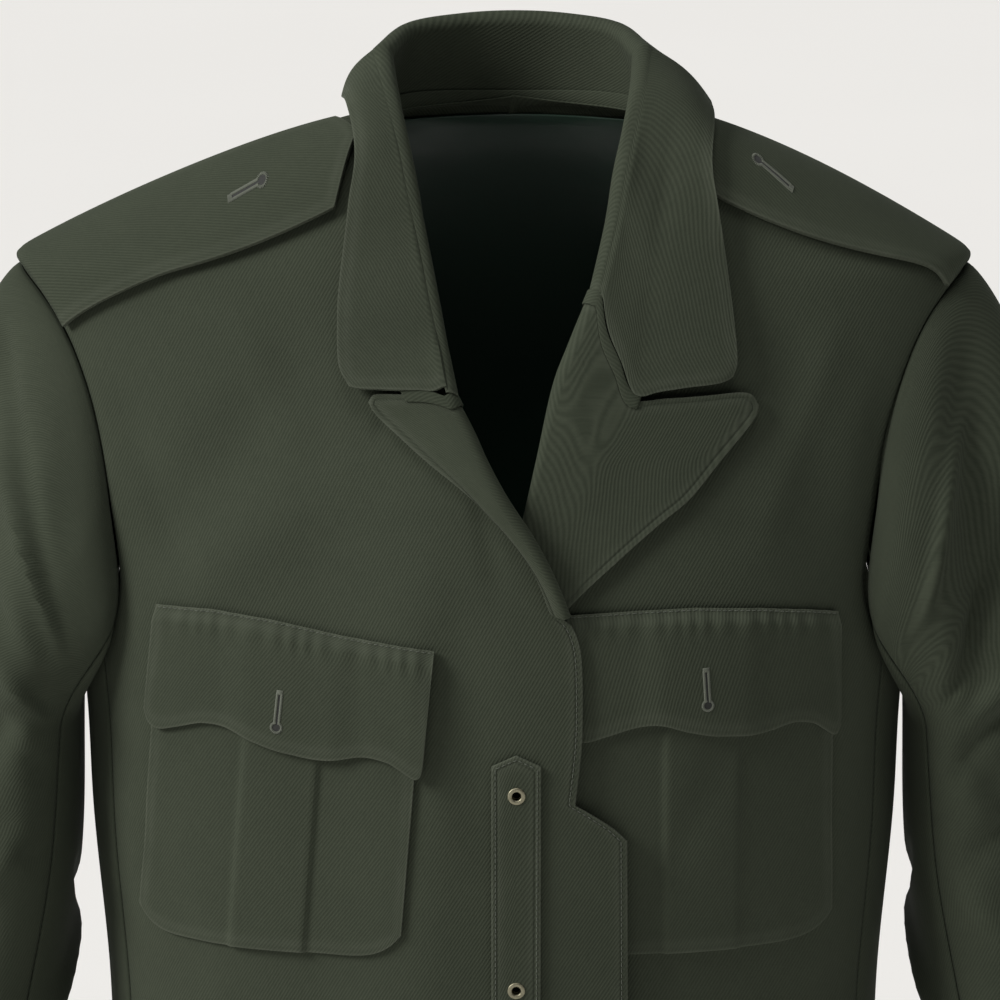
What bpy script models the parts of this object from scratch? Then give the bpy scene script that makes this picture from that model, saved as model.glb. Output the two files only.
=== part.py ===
"""A military service coat, worn open and filled out as if by a wearer, with nobody in it.

Metres, +Z up. The front faces -Y and the wearer's left side lies at +X. The origin is midway
between the two points beside the neck where the coat rests on the wearer's shoulders.
"""

import bmesh
import bpy
import numpy as np
from mathutils import Vector

RIGHT = -1
LEFT = 1
SIDE_NAMES = {RIGHT: "right", LEFT: "left"}

# Cloth thicknesses and the gaps between pieces
CLOTH = 0.0016
POCKET_CLOTH = 0.0014
COLLAR_CLOTH = 0.0022
COLLAR_FOOT_CLOTH = 0.0012
EPAULETTE_CLOTH = 0.0030
LINING_CLOTH = 0.0010
SEAM_GAP = 0.0003
LAID_GAP = 0.0007
SEAM_ANGLE = 0.16
SHOULDER_SEAM_ANGLE = 0.25

# Shoulders: the ridge falls from beside the neck to the sleeve head
NECK_HALF = 0.066
NECK_SHIFT = 0.010
SHOULDER_X = 0.2305
SHOULDER_ROUNDING = 0.0025
SHOULDER_DROP = 0.0715
RIDGE_CURVE = 1.35
HEM_Z = -0.76

# The body's sections: height, half width, front depth, back depth
BODY = np.array((
    (0.030, 0.066, 0.044, 0.050),
    (0.000, 0.066, 0.046, 0.057),
    (-0.030, 0.150, 0.054, 0.074),
    (-0.0715, 0.229, 0.070, 0.093),
    (-0.120, 0.231, 0.089, 0.109),
    (-0.173, 0.221, 0.106, 0.119),
    (-0.224, 0.207, 0.116, 0.122),
    (-0.275, 0.200, 0.120, 0.118),
    (-0.340, 0.197, 0.118, 0.106),
    (-0.430, 0.190, 0.111, 0.094),
    (-0.520, 0.190, 0.112, 0.101),
    (-0.620, 0.200, 0.121, 0.118),
    (-0.760, 0.211, 0.128, 0.127),
))
# How square a section is: height, exponent of its superellipse
SQUARENESS = np.array(((0.0, 2.0), (-0.0715, 2.05), (-0.2, 2.3), (-0.76, 2.4)))

# The armhole is an oval in side view
ARMHOLE_Z = -0.173
ARMHOLE_RISE = -SHOULDER_DROP - ARMHOLE_Z
ARMHOLE_FRONT = 0.070
ARMHOLE_FRONT_TURN = 112.0
ARMHOLE_BACK = 0.076
FRONT_SEAM_TURN = 140.0
BACK_SEAM_TURN = 220.0
FRONT_SEAM_HEM = 68.0
BACK_SEAM_HEM = 112.0


def hermite(at, knots, values, slopes):
    """Cubic curve through the values at rising knots, with the given slopes."""
    at = np.clip(at, knots[0], knots[-1])
    span = np.clip(np.searchsorted(knots, at) - 1, 0, len(knots) - 2)
    length = knots[span + 1] - knots[span]
    part = (at - knots[span]) / length
    if values.ndim > 1:
        length = length[..., None]
        part = part[..., None]
    start = values[span] * (2 * part**3 - 3 * part**2 + 1)
    end = values[span + 1] * (3 * part**2 - 2 * part**3)
    rise = slopes[span] * (part**3 - 2 * part**2 + part)
    fall = slopes[span + 1] * (part**3 - part**2)
    return start + end + length * (rise + fall)


def down_table(z, table, column):
    """A column of a table whose first column is a falling height, read at height z."""
    knots = table[::-1, 0]
    values = table[::-1, column]
    return hermite(np.asarray(z, float), knots, values, np.gradient(values, knots))


def ease(start, end, value):
    """Rises smoothly from 0 at start to 1 at end."""
    part = np.clip((np.asarray(value, float) - start) / (end - start), 0, 1)
    return part * part * (3 - 2 * part)


def half_width(z):
    """Half the body's width. Above the sleeve heads it follows the shoulder ridge."""
    z = np.asarray(z, float)
    low = down_table(np.minimum(z, -SHOULDER_DROP), BODY[3:], 1)
    fallen = np.clip(-z / SHOULDER_DROP, 0, 4)
    ridge = NECK_HALF + (SHOULDER_X - NECK_HALF) * fallen ** (1 / RIDGE_CURVE)
    apart = (ridge - low) / SHOULDER_ROUNDING
    return low + (ridge - low) - SHOULDER_ROUNDING * np.logaddexp(0, apart)


def middle(z):
    """The neck sits a little towards the wearer's left."""
    return NECK_SHIFT * np.clip(1 + np.asarray(z, float) / SHOULDER_DROP, 0, 1)


def body_base(angle, z):
    """A point of the body. Angle 0 is the centre front, 90 the left side, 180 the centre back."""
    power = 2 / down_table(z, SQUARENESS, 1)
    turn = np.radians(angle)
    across = np.sign(np.sin(turn)) * np.abs(np.sin(turn)) ** power
    along = np.abs(np.cos(turn)) ** power
    depth = np.where(np.cos(turn) > 0, -down_table(z, BODY, 2), down_table(z, BODY, 3))
    return np.stack([middle(z) + half_width(z) * across, depth * along, z + 0 * across], axis=-1)


def body_normal(angle, z):
    """Unit vector pointing out of the body."""
    step = 0.4
    rise = 0.0012
    round_body = body_base(angle + step, z) - body_base(angle - step, z)
    upward = body_base(angle, z + rise) - body_base(angle, z - rise)
    out = np.cross(round_body, upward)
    return out / np.linalg.norm(out, axis=-1, keepdims=True)


def angle_at(x, z):
    """The body angle of a place on the front."""
    across = (np.asarray(x, float) - middle(z)) / half_width(z)
    across = np.clip(across, -1, 1)
    turn = np.arcsin(np.abs(across) ** (down_table(z, SQUARENESS, 1) / 2))
    return np.degrees(np.sign(across) * turn)


# Soft folds of each front: start x, start z, end x, end z, half width, depth
DRAPES = {
    RIGHT: (
        (-0.088, -0.105, -0.168, -0.205, 0.020, -0.0022),
        (-0.060, -0.150, -0.150, -0.215, 0.017, 0.0016),
        (-0.020, -0.215, -0.012, -0.300, 0.014, -0.0018),
        (-0.060, -0.440, -0.105, -0.720, 0.022, 0.0030),
        (-0.130, -0.470, -0.150, -0.740, 0.020, -0.0028),
    ),
    LEFT: (
        (0.124, -0.080, 0.160, -0.190, 0.018, -0.0020),
        (0.070, -0.160, 0.140, -0.210, 0.016, 0.0012),
        (0.070, -0.450, 0.110, -0.720, 0.024, 0.0032),
        (0.135, -0.430, 0.158, -0.740, 0.018, -0.0026),
    ),
}
BACK_DRAPES = (
    (-0.050, -0.120, -0.125, -0.240, 0.022, -0.0024),
    (0.060, -0.110, 0.130, -0.230, 0.020, -0.0022),
    (-0.075, -0.440, -0.110, -0.730, 0.022, 0.0034),
    (0.065, -0.450, 0.120, -0.730, 0.024, 0.0030),
)
# The right front laps over the left one
LAP_LIFT = 0.0085
LAP_START = -0.090
LAP_END = -0.022
LAP_TOP = -0.125
LAP_FULL = -0.175


def folds(x, z, table):
    """Height of the soft folds at a place: long ridges and troughs that fade at both ends."""
    total = np.zeros(np.broadcast(x, z).shape)
    for x1, z1, x2, z2, width, depth in table:
        run = np.hypot(x2 - x1, z2 - z1)
        along = ((x - x1) * (x2 - x1) + (z - z1) * (z2 - z1)) / run**2
        aside = ((x - x1) * (z2 - z1) - (z - z1) * (x2 - x1)) / run
        fade = ease(-0.25, 0.25, along) * ease(1.25, 0.75, along)
        total = total + depth * fade * np.exp(-((aside / width) ** 2))
    return total


def front_lift(side, angle, z):
    """How far a front's outer face stands off the body's plain form."""
    x = body_base(angle, z)[..., 0]
    lift = folds(x, z, DRAPES[side]) * ease(72, 55, np.abs(angle))
    if side == RIGHT:
        lift = lift + LAP_LIFT * ease(LAP_START, LAP_END, x) * ease(LAP_TOP, LAP_FULL, z)
    return lift


def back_lift(angle, z):
    """How far the back's outer face stands off the body's plain form."""
    x = body_base(angle, z)[..., 0]
    return folds(x, z, BACK_DRAPES) * ease(108, 125, np.abs(angle))


def front_point(side, x, z, lift):
    """A point over one of the fronts, at a distance from its outer face."""
    angle = angle_at(x, z)
    height = front_lift(side, angle, z) + lift
    return body_base(angle, z) + body_normal(angle, z) * np.asarray(height)[..., None]


def off_body(angle, z, lift):
    """Points at a distance from the body's plain form."""
    return body_base(angle, z) + body_normal(angle, z) * np.asarray(lift)[..., None]


def spaced(points, count, place):
    """Table points evenly spaced, by real length, along a smooth curve through a table's rows."""
    points = np.array(points, float)
    knots = np.arange(len(points), dtype=float)
    fine = np.linspace(0, knots[-1], 60 * len(points))
    dense = hermite(fine, knots, points, np.gradient(points, knots, axis=0))
    steps = np.linalg.norm(np.diff(place(dense), axis=0), axis=1)
    run = np.concatenate([[0], np.cumsum(steps)])
    at = np.linspace(0, run[-1], count + 1)
    return np.column_stack([np.interp(at, run, dense[:, k]) for k in range(points.shape[1])])


def joined(*stretches):
    """One row of points from several stretches, each starting where the last one ends."""
    return np.concatenate([stretches[0]] + [stretch[1:] for stretch in stretches[1:]])


def on_body(points):
    return body_base(points[:, 0], points[:, 1])


def on_front(points):
    return body_base(angle_at(points[:, 0], points[:, 1]), points[:, 1])


def as_angles(points):
    """A front's x and z places as body angles and heights."""
    return np.column_stack([angle_at(points[:, 0], points[:, 1]), points[:, 1]])


def normals(points):
    """Unit normals of a grid of points."""
    down = np.gradient(points, axis=0)
    across = np.gradient(points, axis=1)
    out = np.cross(across, down)
    return out / np.linalg.norm(out, axis=-1, keepdims=True)


def material(name, colour, roughness, metallic=0.0):
    made = bpy.data.materials.new(name)
    made.use_nodes = True
    shader = made.node_tree.nodes["Principled BSDF"]
    shader.inputs["Base Color"].default_value = (*colour, 1.0)
    shader.inputs["Roughness"].default_value = roughness
    shader.inputs["Metallic"].default_value = metallic
    return made


def add_mesh(name, sheet, look, collection):
    """A named object from a bmesh, with one material."""
    mesh = bpy.data.meshes.new(name)
    sheet.to_mesh(mesh)
    sheet.free()
    mesh.materials.append(look)
    mesh.shade_smooth()
    mesh.set_sharp_from_angle(angle=np.radians(40))
    made = bpy.data.objects.new(name, mesh)
    collection.objects.link(made)
    return made


def wall(name, face, back, look, collection):
    """A piece of cloth: a flat grid extruded once, then laid on its face and its back."""
    rows, columns = face.shape[0] - 1, face.shape[1] - 1
    sheet = bmesh.new()
    bmesh.ops.create_grid(sheet, x_segments=columns, y_segments=rows, size=0.5)
    laid = sheet.verts[:]
    cells = [(round((v.co.y + 0.5) * rows), round((v.co.x + 0.5) * columns)) for v in laid]
    made = bmesh.ops.extrude_face_region(sheet, geom=sheet.faces[:], use_keep_orig=True)
    twins = [item for item in made["geom"] if isinstance(item, bmesh.types.BMVert)]
    by_place = {(round(v.co.y, 5), round(v.co.x, 5)): v for v in twins}
    for vertex, cell in zip(laid, cells):
        twin = by_place[(round(vertex.co.y, 5), round(vertex.co.x, 5))]
        twin.co = back[cell]
        vertex.co = face[cell]
    bmesh.ops.recalc_face_normals(sheet, faces=sheet.faces[:])
    return add_mesh(name, sheet, look, collection)


# Outlines, as tables of angle and height or of x and z on the front
NECKLINE = {
    RIGHT: ((-90.0, 0.0), (-50.0, -0.004), (-28.5, -0.018), (-14.6, -0.045), (-7.6, -0.082)),
    LEFT: ((90.0, 0.0), (50.0, -0.004), (30.0, -0.018), (19.5, -0.045)),
}
# The visible edge of the lapel's roll, from the gorge down to the break
ROLL_LINE = {
    RIGHT: ((-0.018, -0.124), (-0.010, -0.139), (-0.004, -0.152), (0.005, -0.168),
            (0.018, -0.187), (0.027, -0.204), (0.034, -0.221)),
    LEFT: ((0.0455, -0.079), (0.036, -0.101), (0.029, -0.119),
           (0.021, -0.154), (0.012, -0.190), (-0.006, -0.251)),
}
FRONT_EDGE = {
    RIGHT: ((0.034, -0.221), (0.039, -0.231), (0.041, -0.245), (0.041, -0.278), (0.038, -0.309)),
    LEFT: ((-0.006, -0.251), (-0.008, -0.265), (-0.010, -0.285), (-0.012, -0.309)),
}
# The right front steps out where its lower edge begins
EDGE_STEP = {
    RIGHT: ((0.038, -0.309), (0.046, -0.314), (0.056, -0.321), (0.062, -0.327)),
    LEFT: ((-0.012, -0.309), (-0.013, -0.318), (-0.014, -0.327)),
}
LOWER_EDGE = {
    RIGHT: ((0.062, -0.327), (0.063, -0.430), (0.064, -0.600), (0.060, HEM_Z)),
    LEFT: ((-0.014, -0.327), (-0.024, -0.430), (-0.036, -0.600), (-0.046, HEM_Z)),
}
EDGE_HEIGHTS = (-0.309, -0.327)
ROLL_RADIUS = {RIGHT: 0.0038, LEFT: 0.0040}
BREAK_RADIUS = 0.0018
LAPEL_EDGE_LIFT = 0.0026
# Where, along the roll line, it flattens
ROLL_FLATTENS = {RIGHT: (0.4, 1.0), LEFT: (0.15, 0.55)}

NECK_ROWS = 7
ROLL_ROWS = 5
EDGE_ROWS = 3
STEP_ROWS = 1
LOWER_ROWS = 8
FRONT_COLUMNS = 14
SIDE_COLUMNS = 4
BACK_COLUMNS = 8


def armhole(turn):
    """Body angle (on the left) and height of a point of the armhole. Turn 0 is its top."""
    z = ARMHOLE_Z + ARMHOLE_RISE * np.cos(np.radians(turn))
    forward = turn < 180
    full = ARMHOLE_FRONT_TURN
    swung = np.where(turn < full, turn * 90 / full, 90 + (turn - full) * 90 / (180 - full))
    swung = np.radians(np.where(forward, swung, turn))
    reach = np.where(forward, ARMHOLE_FRONT, ARMHOLE_BACK) * np.abs(np.sin(swung))
    depth = np.where(forward, down_table(z, BODY, 2), down_table(z, BODY, 3))
    cosine = (reach / depth) ** (down_table(z, SQUARENESS, 1) / 2)
    angle = np.degrees(np.arccos(np.clip(cosine, 0, 1)))
    return np.column_stack([np.where(forward, angle, 180 - angle), z])


def seam(turn, hem_angle, heights):
    """A side seam from the armhole down, at the given heights."""
    top = armhole(np.array([turn]))[0]
    part = (top[1] - heights) / (top[1] - HEM_Z)
    return np.column_stack([top[0] + (hem_angle - top[0]) * part, heights])


def side_heights(top, rows_above, rows_step, rows_low):
    """Heights down a side seam that match the rows of the front edge."""
    upper = np.linspace(top, EDGE_HEIGHTS[0], rows_above + 1)
    step = np.linspace(EDGE_HEIGHTS[0], EDGE_HEIGHTS[1], rows_step + 1)[1:]
    lower = np.linspace(EDGE_HEIGHTS[1], HEM_Z, rows_low + 1)[1:]
    return np.concatenate([upper, step, lower])


def roll_base(side, radius):
    """Where a front's cloth turns over into its lapel, from the gorge to the break."""
    line = spaced(ROLL_LINE[side], ROLL_ROWS, on_front)
    along = np.gradient(line, axis=0)
    along /= np.linalg.norm(along, axis=1, keepdims=True)
    inward = np.column_stack([along[:, 1], -along[:, 0]]) * -side
    return line + inward * radius[:, None], line, inward


def between(inner, outer, columns):
    """A grid of rows running evenly from the inner points to the outer ones."""
    part = np.linspace(0, 1, columns + 1)[None, :, None]
    return inner[:, None, :] * (1 - part) + outer[:, None, :] * part


def roll_radii(side):
    """The roll flattens towards the break."""
    line = spaced(ROLL_LINE[side], ROLL_ROWS, on_front)
    part = ease(*ROLL_FLATTENS[side], np.linspace(0, 1, len(line)))
    return ROLL_RADIUS[side] + (BREAK_RADIUS - ROLL_RADIUS[side]) * part


def front_inner(side):
    """The front's inner boundary as body angles and heights: neck, roll line, then edge."""
    base, _, _ = roll_base(side, roll_radii(side))
    roll = as_angles(base)
    neck = spaced((*NECKLINE[side], tuple(roll[0])), NECK_ROWS, on_body)
    edge = as_angles(spaced(FRONT_EDGE[side], EDGE_ROWS, on_front))
    edge[0] = roll[-1]
    step = as_angles(spaced(EDGE_STEP[side], STEP_ROWS, on_front))
    low = as_angles(spaced(LOWER_EDGE[side], LOWER_ROWS, on_front))
    return joined(neck, roll, edge, step, low)


def front_outer(side):
    """The front's outer boundary: armhole, then the seam with the side panel."""
    turns = np.linspace(0, FRONT_SEAM_TURN, NECK_ROWS + ROLL_ROWS + 1)
    hole = armhole(turns)
    heights = side_heights(hole[-1, 1], EDGE_ROWS, STEP_ROWS, LOWER_ROWS)
    outer = joined(hole, seam(FRONT_SEAM_TURN, FRONT_SEAM_HEM, heights))
    outer[:, 0] -= SEAM_ANGLE
    return outer * (side, 1)


def front_grid(side):
    grid = between(front_inner(side), front_outer(side), FRONT_COLUMNS)
    grid[0, :, 0] = side * (90 - SHOULDER_SEAM_ANGLE)
    return grid


def fronts(look, collection):
    for side, name in SIDE_NAMES.items():
        grid = front_grid(side)
        lift = front_lift(side, grid[..., 0], grid[..., 1])
        face = off_body(grid[..., 0], grid[..., 1], lift)
        back = off_body(grid[..., 0], grid[..., 1], lift - CLOTH)
        wall("front_" + name, face, back, look, collection)


def side_panels(look, collection):
    """The panels under the arms."""
    for side, name in SIDE_NAMES.items():
        top = armhole(np.array([FRONT_SEAM_TURN]))[0, 1]
        heights = side_heights(top, EDGE_ROWS, STEP_ROWS, LOWER_ROWS)
        ahead = seam(FRONT_SEAM_TURN, FRONT_SEAM_HEM, heights) + (SEAM_ANGLE, 0)
        behind = seam(BACK_SEAM_TURN, BACK_SEAM_HEM, heights) - (SEAM_ANGLE, 0)
        grid = between(ahead, behind, SIDE_COLUMNS)
        hole = armhole(np.linspace(FRONT_SEAM_TURN, BACK_SEAM_TURN, SIDE_COLUMNS + 1))
        dip = hole[:, 1] - top
        fade = np.clip(1 - np.arange(len(heights)) / EDGE_ROWS, 0, 1)
        grid[..., 1] += fade[:, None] * dip[None, :]
        grid[..., 0] *= side
        face = off_body(grid[..., 0], grid[..., 1], 0 * grid[..., 0])
        back = off_body(grid[..., 0], grid[..., 1], 0 * grid[..., 0] - CLOTH)
        wall("side_" + name, face, back, look, collection)


BACK_NECK_ROWS = 5
BACK_SEAM_ROWS = 15
CENTRE_SEAM_ANGLE = 0.08


def back_grid(side):
    neck_angles = np.linspace(90 + SHOULDER_SEAM_ANGLE, 180 - CENTRE_SEAM_ANGLE, BACK_NECK_ROWS + 1)
    neck = np.column_stack([neck_angles, 0 * neck_angles])
    centre_heights = np.linspace(0, HEM_Z, BACK_SEAM_ROWS + 1)
    centre = np.column_stack([0 * centre_heights + 180 - CENTRE_SEAM_ANGLE, centre_heights])
    turns = np.linspace(360, BACK_SEAM_TURN, BACK_NECK_ROWS + 6)
    hole = armhole(turns)
    heights = np.linspace(hole[-1, 1], HEM_Z, BACK_SEAM_ROWS - 4)
    outer = joined(hole, seam(BACK_SEAM_TURN, BACK_SEAM_HEM, heights))
    outer[:, 0] += SEAM_ANGLE
    grid = between(joined(neck, centre), outer, BACK_COLUMNS)
    grid[0, :, 0] = 90 + SHOULDER_SEAM_ANGLE
    return grid * (side, 1)


def backs(look, collection):
    for side, name in SIDE_NAMES.items():
        grid = back_grid(side)
        lift = back_lift(grid[..., 0], grid[..., 1])
        face = off_body(grid[..., 0], grid[..., 1], lift)
        back = off_body(grid[..., 0], grid[..., 1], lift - CLOTH)
        wall("back_" + name, face, back, look, collection)


# The lining shows inside the neck: its half angle round the back and its lowest height
LINING_ANGLE = 62.0
LINING_TOP = -0.006
LINING_LOW = -0.33
LINING_GAP = 0.0022


def lining(look, collection):
    """The satin that shows through the open neck, just inside the backs."""
    heights = np.linspace(LINING_TOP, LINING_LOW, 9)
    angles = np.linspace(180 - LINING_ANGLE, 180 + LINING_ANGLE, 17)
    angle, z = np.meshgrid(angles, heights)
    inside = back_lift((angle + 180) % 360 - 180, z) - CLOTH - LINING_GAP
    face = off_body(angle, z, inside)
    back = off_body(angle, z, inside - LINING_CLOTH)
    wall("back_lining", face, back, look, collection)


# Lapels: outer edge from the peak to the break, and the top row from the gorge to the peak
LAPEL_EDGE = {
    RIGHT: ((-0.058, -0.125), (-0.055, -0.130), (-0.044, -0.140), (-0.029, -0.153),
            (-0.010, -0.168), (0.008, -0.186), (0.019, -0.202), (0.026, -0.219)),
    LEFT: ((0.124, -0.128), (0.121, -0.135), (0.106, -0.152), (0.091, -0.169),
           (0.078, -0.179), (0.059, -0.195), (0.035, -0.217), (0.008, -0.248)),
}
LAPEL_TOP = {
    RIGHT: ((-0.0275, -0.1232), (-0.0340, -0.1220), (-0.0400, -0.1217), (-0.0460, -0.1215),
            (-0.0510, -0.1213), (-0.0555, -0.1218), (-0.0580, -0.1250)),
    LEFT: ((0.0510, -0.0965), (0.0570, -0.1100), (0.0636, -0.1240), (0.0800, -0.1240),
           (0.0970, -0.1232), (0.1180, -0.1222), (0.1240, -0.1280)),
}
CURL_STEPS = 4
LAPEL_COLUMNS = 7


def lapels(look, collection):
    """The lapels: each facing curls over the roll line and lies back on its front."""
    for side, name in SIDE_NAMES.items():
        radius = roll_radii(side)
        base, _, inward = roll_base(side, radius)
        base = base - inward * SEAM_GAP
        edge = spaced(LAPEL_EDGE[side], ROLL_ROWS, on_front)
        top = np.array((tuple(base[0]), *LAPEL_TOP[side]))
        rows = []
        for row in range(ROLL_ROWS + 1):
            curl = []
            for turn in np.linspace(0, np.pi, CURL_STEPS + 1)[:-1]:
                place = base[row] - inward[row] * radius[row] * np.sin(turn)
                curl.append((*place, radius[row] * (1 - np.cos(turn))))
            part = np.linspace(0, 1, LAPEL_COLUMNS + 1)[:, None]
            leaf = base[row] * (1 - part) + edge[row] * part
            straight = base[0] * (1 - part) + edge[0] * part
            leaf = leaf + (top - straight) * ease(0.75, 0, row / ROLL_ROWS)
            settle = ease(0, 1, part)
            lift = 2 * radius[row] + (LAPEL_EDGE_LIFT - 2 * radius[row]) * settle
            rows.append(np.concatenate([np.array(curl), np.column_stack([leaf, lift])]))
        rows = np.array(rows)
        face = front_point(side, rows[..., 0], rows[..., 1], rows[..., 2])
        out = normals(face) * side
        wall("lapel_" + name, face, face - out * CLOTH, look, collection)


# Breast pockets: a patch with a raised box pleat, under a scalloped flap
POCKET_MIDDLE = {RIGHT: -0.0945, LEFT: 0.0975}
POCKET_SLANT = {RIGHT: 0.085, LEFT: 0.004}
POCKET_HALF = 0.0625
POCKET_BELOW_FLAP = 0.0090
POCKET_BOTTOM = -0.386
PLEAT_HALF = 0.0178
PLEAT_RISE = 0.0014
POCKET_PLACES = (-1, -0.93, -0.76, -0.53, -0.305, -0.265, 0, 0.265, 0.305, 0.53, 0.76, 0.93, 1)
POCKET_PLEAT = (0, 0, 0, 0, 0, 1, 1, 1, 0, 0, 0, 0, 0)
POCKET_ROWS = 7
POCKET_CORNER = 0.013


def pockets(look, collection):
    for side, name in SIDE_NAMES.items():
        across = np.array(POCKET_PLACES)[None, :]
        down = np.linspace(0, 1, POCKET_ROWS + 1)[:, None]
        x = POCKET_MIDDLE[side] + POCKET_HALF * across + 0 * down
        flap = np.array(sorted(FLAP_TOP[side]))
        top = np.interp(x, flap[:, 0], flap[:, 1]) - POCKET_BELOW_FLAP
        low = POCKET_BOTTOM + POCKET_CORNER * np.abs(across) ** 8
        z = top + (low - top) * down
        x = x - (z - top) * POCKET_SLANT[side] * side
        raised = PLEAT_RISE * np.array(POCKET_PLEAT)[None, :] + 0 * down
        face = front_point(side, x, z, LAID_GAP + POCKET_CLOTH + raised)
        back = front_point(side, x, z, LAID_GAP + 0 * x)
        wall("pocket_" + name, face, back, look, collection)


FLAP_TOP = {
    RIGHT: ((-0.158, -0.222), (-0.131, -0.2215), (-0.103, -0.2245), (-0.072, -0.2300),
            (-0.043, -0.2340), (-0.027, -0.2360)),
    LEFT: ((0.162, -0.226), (0.149, -0.2235), (0.125, -0.2205), (0.094, -0.2185),
           (0.066, -0.2190), (0.034, -0.2205)),
}
FLAP_SLANT = {RIGHT: -0.0050, LEFT: 0.0005}
FLAP_DROP = {RIGHT: 0.98, LEFT: 0.98}
# The scalloped lower edge: place from outer end to inner end, drop below the top edge
FLAP_SCALLOP = (
    (-1.0, 0.0520), (-0.97, 0.0585), (-0.90, 0.0610), (-0.78, 0.0590), (-0.60, 0.0555),
    (-0.44, 0.0550), (-0.26, 0.0590), (-0.12, 0.0610), (0.0, 0.0612), (0.12, 0.0610),
    (0.26, 0.0590), (0.44, 0.0550), (0.60, 0.0555), (0.78, 0.0590), (0.90, 0.0610),
    (0.97, 0.0585), (1.0, 0.0520),
)
FLAP_PLACES_DOWN = (0, 0.15, 0.42, 0.71, 1)
FLAP_RISE_OVER = 0.008
FLAP_LOW_LIFT = 0.0024
FLAP_LIFT = 0.0049
FLAP_PLEAT_LIFT = 0.0017


def flaps(look, collection):
    scallop = np.array(FLAP_SCALLOP)
    for side, name in SIDE_NAMES.items():
        top = np.array(FLAP_TOP[side])
        run = np.linspace(-1, 1, len(top))
        across = scallop[:, 0]
        top_x = np.interp(across, run, top[:, 0])[None, :]
        top_z = np.interp(across, run, top[:, 1])[None, :]
        down = np.array(FLAP_PLACES_DOWN)[:, None]
        drop = scallop[:, 1][None, :] * FLAP_DROP[side] * down
        x = top_x + FLAP_SLANT[side] * down
        z = top_z - drop
        over_pleat = ease(PLEAT_HALF + 0.016, PLEAT_HALF, np.abs(x - POCKET_MIDDLE[side]))
        risen = ease(0, FLAP_RISE_OVER, drop)
        lift = FLAP_LOW_LIFT + (FLAP_LIFT + FLAP_PLEAT_LIFT * over_pleat - FLAP_LOW_LIFT) * risen
        face = front_point(side, x, z, lift)
        back = front_point(side, x, z, lift - POCKET_CLOTH)
        wall("flap_" + name, face, back, look, collection)


# The eyelet strip down the right front, with a pointed top
STRIP_LEFT = -0.0008
STRIP_RIGHT = 0.0222
STRIP_SHOULDER = -0.2895
STRIP_POINT = -0.2842
STRIP_BOTTOM = -0.535
STRIP_CLOTH = 0.0014
STRIP_ROWS = 9
EYELET_X = 0.0108
EYELET_HEIGHTS = (-0.3035, -0.4000, -0.4965)
EYELET_FLANGE = 0.0042
EYELET_HOLE = 0.0021
EYELET_BARREL = 0.0027
EYELET_METAL = 0.0005
EYELET_CLEARANCE = 0.0032


def eyelet_strip(look, collection):
    across = np.array((0, 0.25, 0.5, 0.75, 1))[None, :]
    down = np.linspace(0, 1, STRIP_ROWS + 1)[:, None]
    top = STRIP_SHOULDER + (STRIP_POINT - STRIP_SHOULDER) * (1 - np.abs(2 * across - 1))
    x = STRIP_LEFT + (STRIP_RIGHT - STRIP_LEFT) * across + 0 * down
    z = top + (STRIP_BOTTOM - top) * down
    face = front_point(RIGHT, x, z, LAID_GAP + STRIP_CLOTH + 0 * x)
    back = front_point(RIGHT, x, z, LAID_GAP + 0 * x)
    return wall("eyelet_strip", face, back, look, collection)


def eyelet_frame(height):
    """Centre and outward direction of an eyelet on the right front's outer face."""
    x = np.array([EYELET_X])
    z = np.array([height])
    inner = front_point(RIGHT, x, z, np.array([0.0]))[0]
    outer = front_point(RIGHT, x, z, np.array([0.01]))[0]
    return inner, (outer - inner) / np.linalg.norm(outer - inner)


def eyelets(look, cutter_look, cloths, collection, cutters):
    """Turned metal eyelets, and the holes that they sit in."""
    top = LAID_GAP + STRIP_CLOTH + SEAM_GAP + EYELET_METAL
    low = -CLOTH - 2 * SEAM_GAP - EYELET_METAL
    for number, height in enumerate(EYELET_HEIGHTS, 1):
        centre, out = eyelet_frame(height)
        aim = Vector(out).to_track_quat("Z", "Y")
        outline = (
            (EYELET_HOLE, top - 0.0001),
            (EYELET_HOLE + 0.0005, top + 0.0002),
            (EYELET_FLANGE - 0.0008, top),
            (EYELET_FLANGE, top - EYELET_METAL),
            (EYELET_BARREL, top - EYELET_METAL),
            (EYELET_BARREL, low + EYELET_METAL),
            (EYELET_FLANGE - 0.0004, low + EYELET_METAL),
            (EYELET_FLANGE - 0.0004, low),
            (EYELET_HOLE, low),
        )
        profile = bmesh.new()
        ring = [profile.verts.new((radius, 0, along)) for radius, along in outline]
        for one, other in zip(ring, ring[1:] + ring[:1]):
            profile.edges.new((one, other))
        metal = add_mesh(f"eyelet_{number}", profile, look, collection)
        turned = metal.modifiers.new("turned", "SCREW")
        turned.steps = 16
        turned.render_steps = 16
        turned.use_merge_vertices = True
        turned.merge_threshold = 0.00001
        metal.location = centre
        metal.rotation_mode = "QUATERNION"
        metal.rotation_quaternion = aim
        punch = bmesh.new()
        bmesh.ops.create_cone(punch, cap_ends=True, segments=16, radius1=EYELET_CLEARANCE,
                              radius2=EYELET_CLEARANCE, depth=0.02)
        cutter = add_mesh(f"eyelet_hole_{number}", punch, cutter_look, cutters)
        cutter.location = centre
        cutter.rotation_mode = "QUATERNION"
        cutter.rotation_quaternion = aim
        cutter.hide_render = True
        cutter.display_type = "WIRE"
        for cloth in cloths:
            hole = cloth.modifiers.new(f"hole {number}", "BOOLEAN")
            hole.operation = "DIFFERENCE"
            hole.object = cutter


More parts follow.
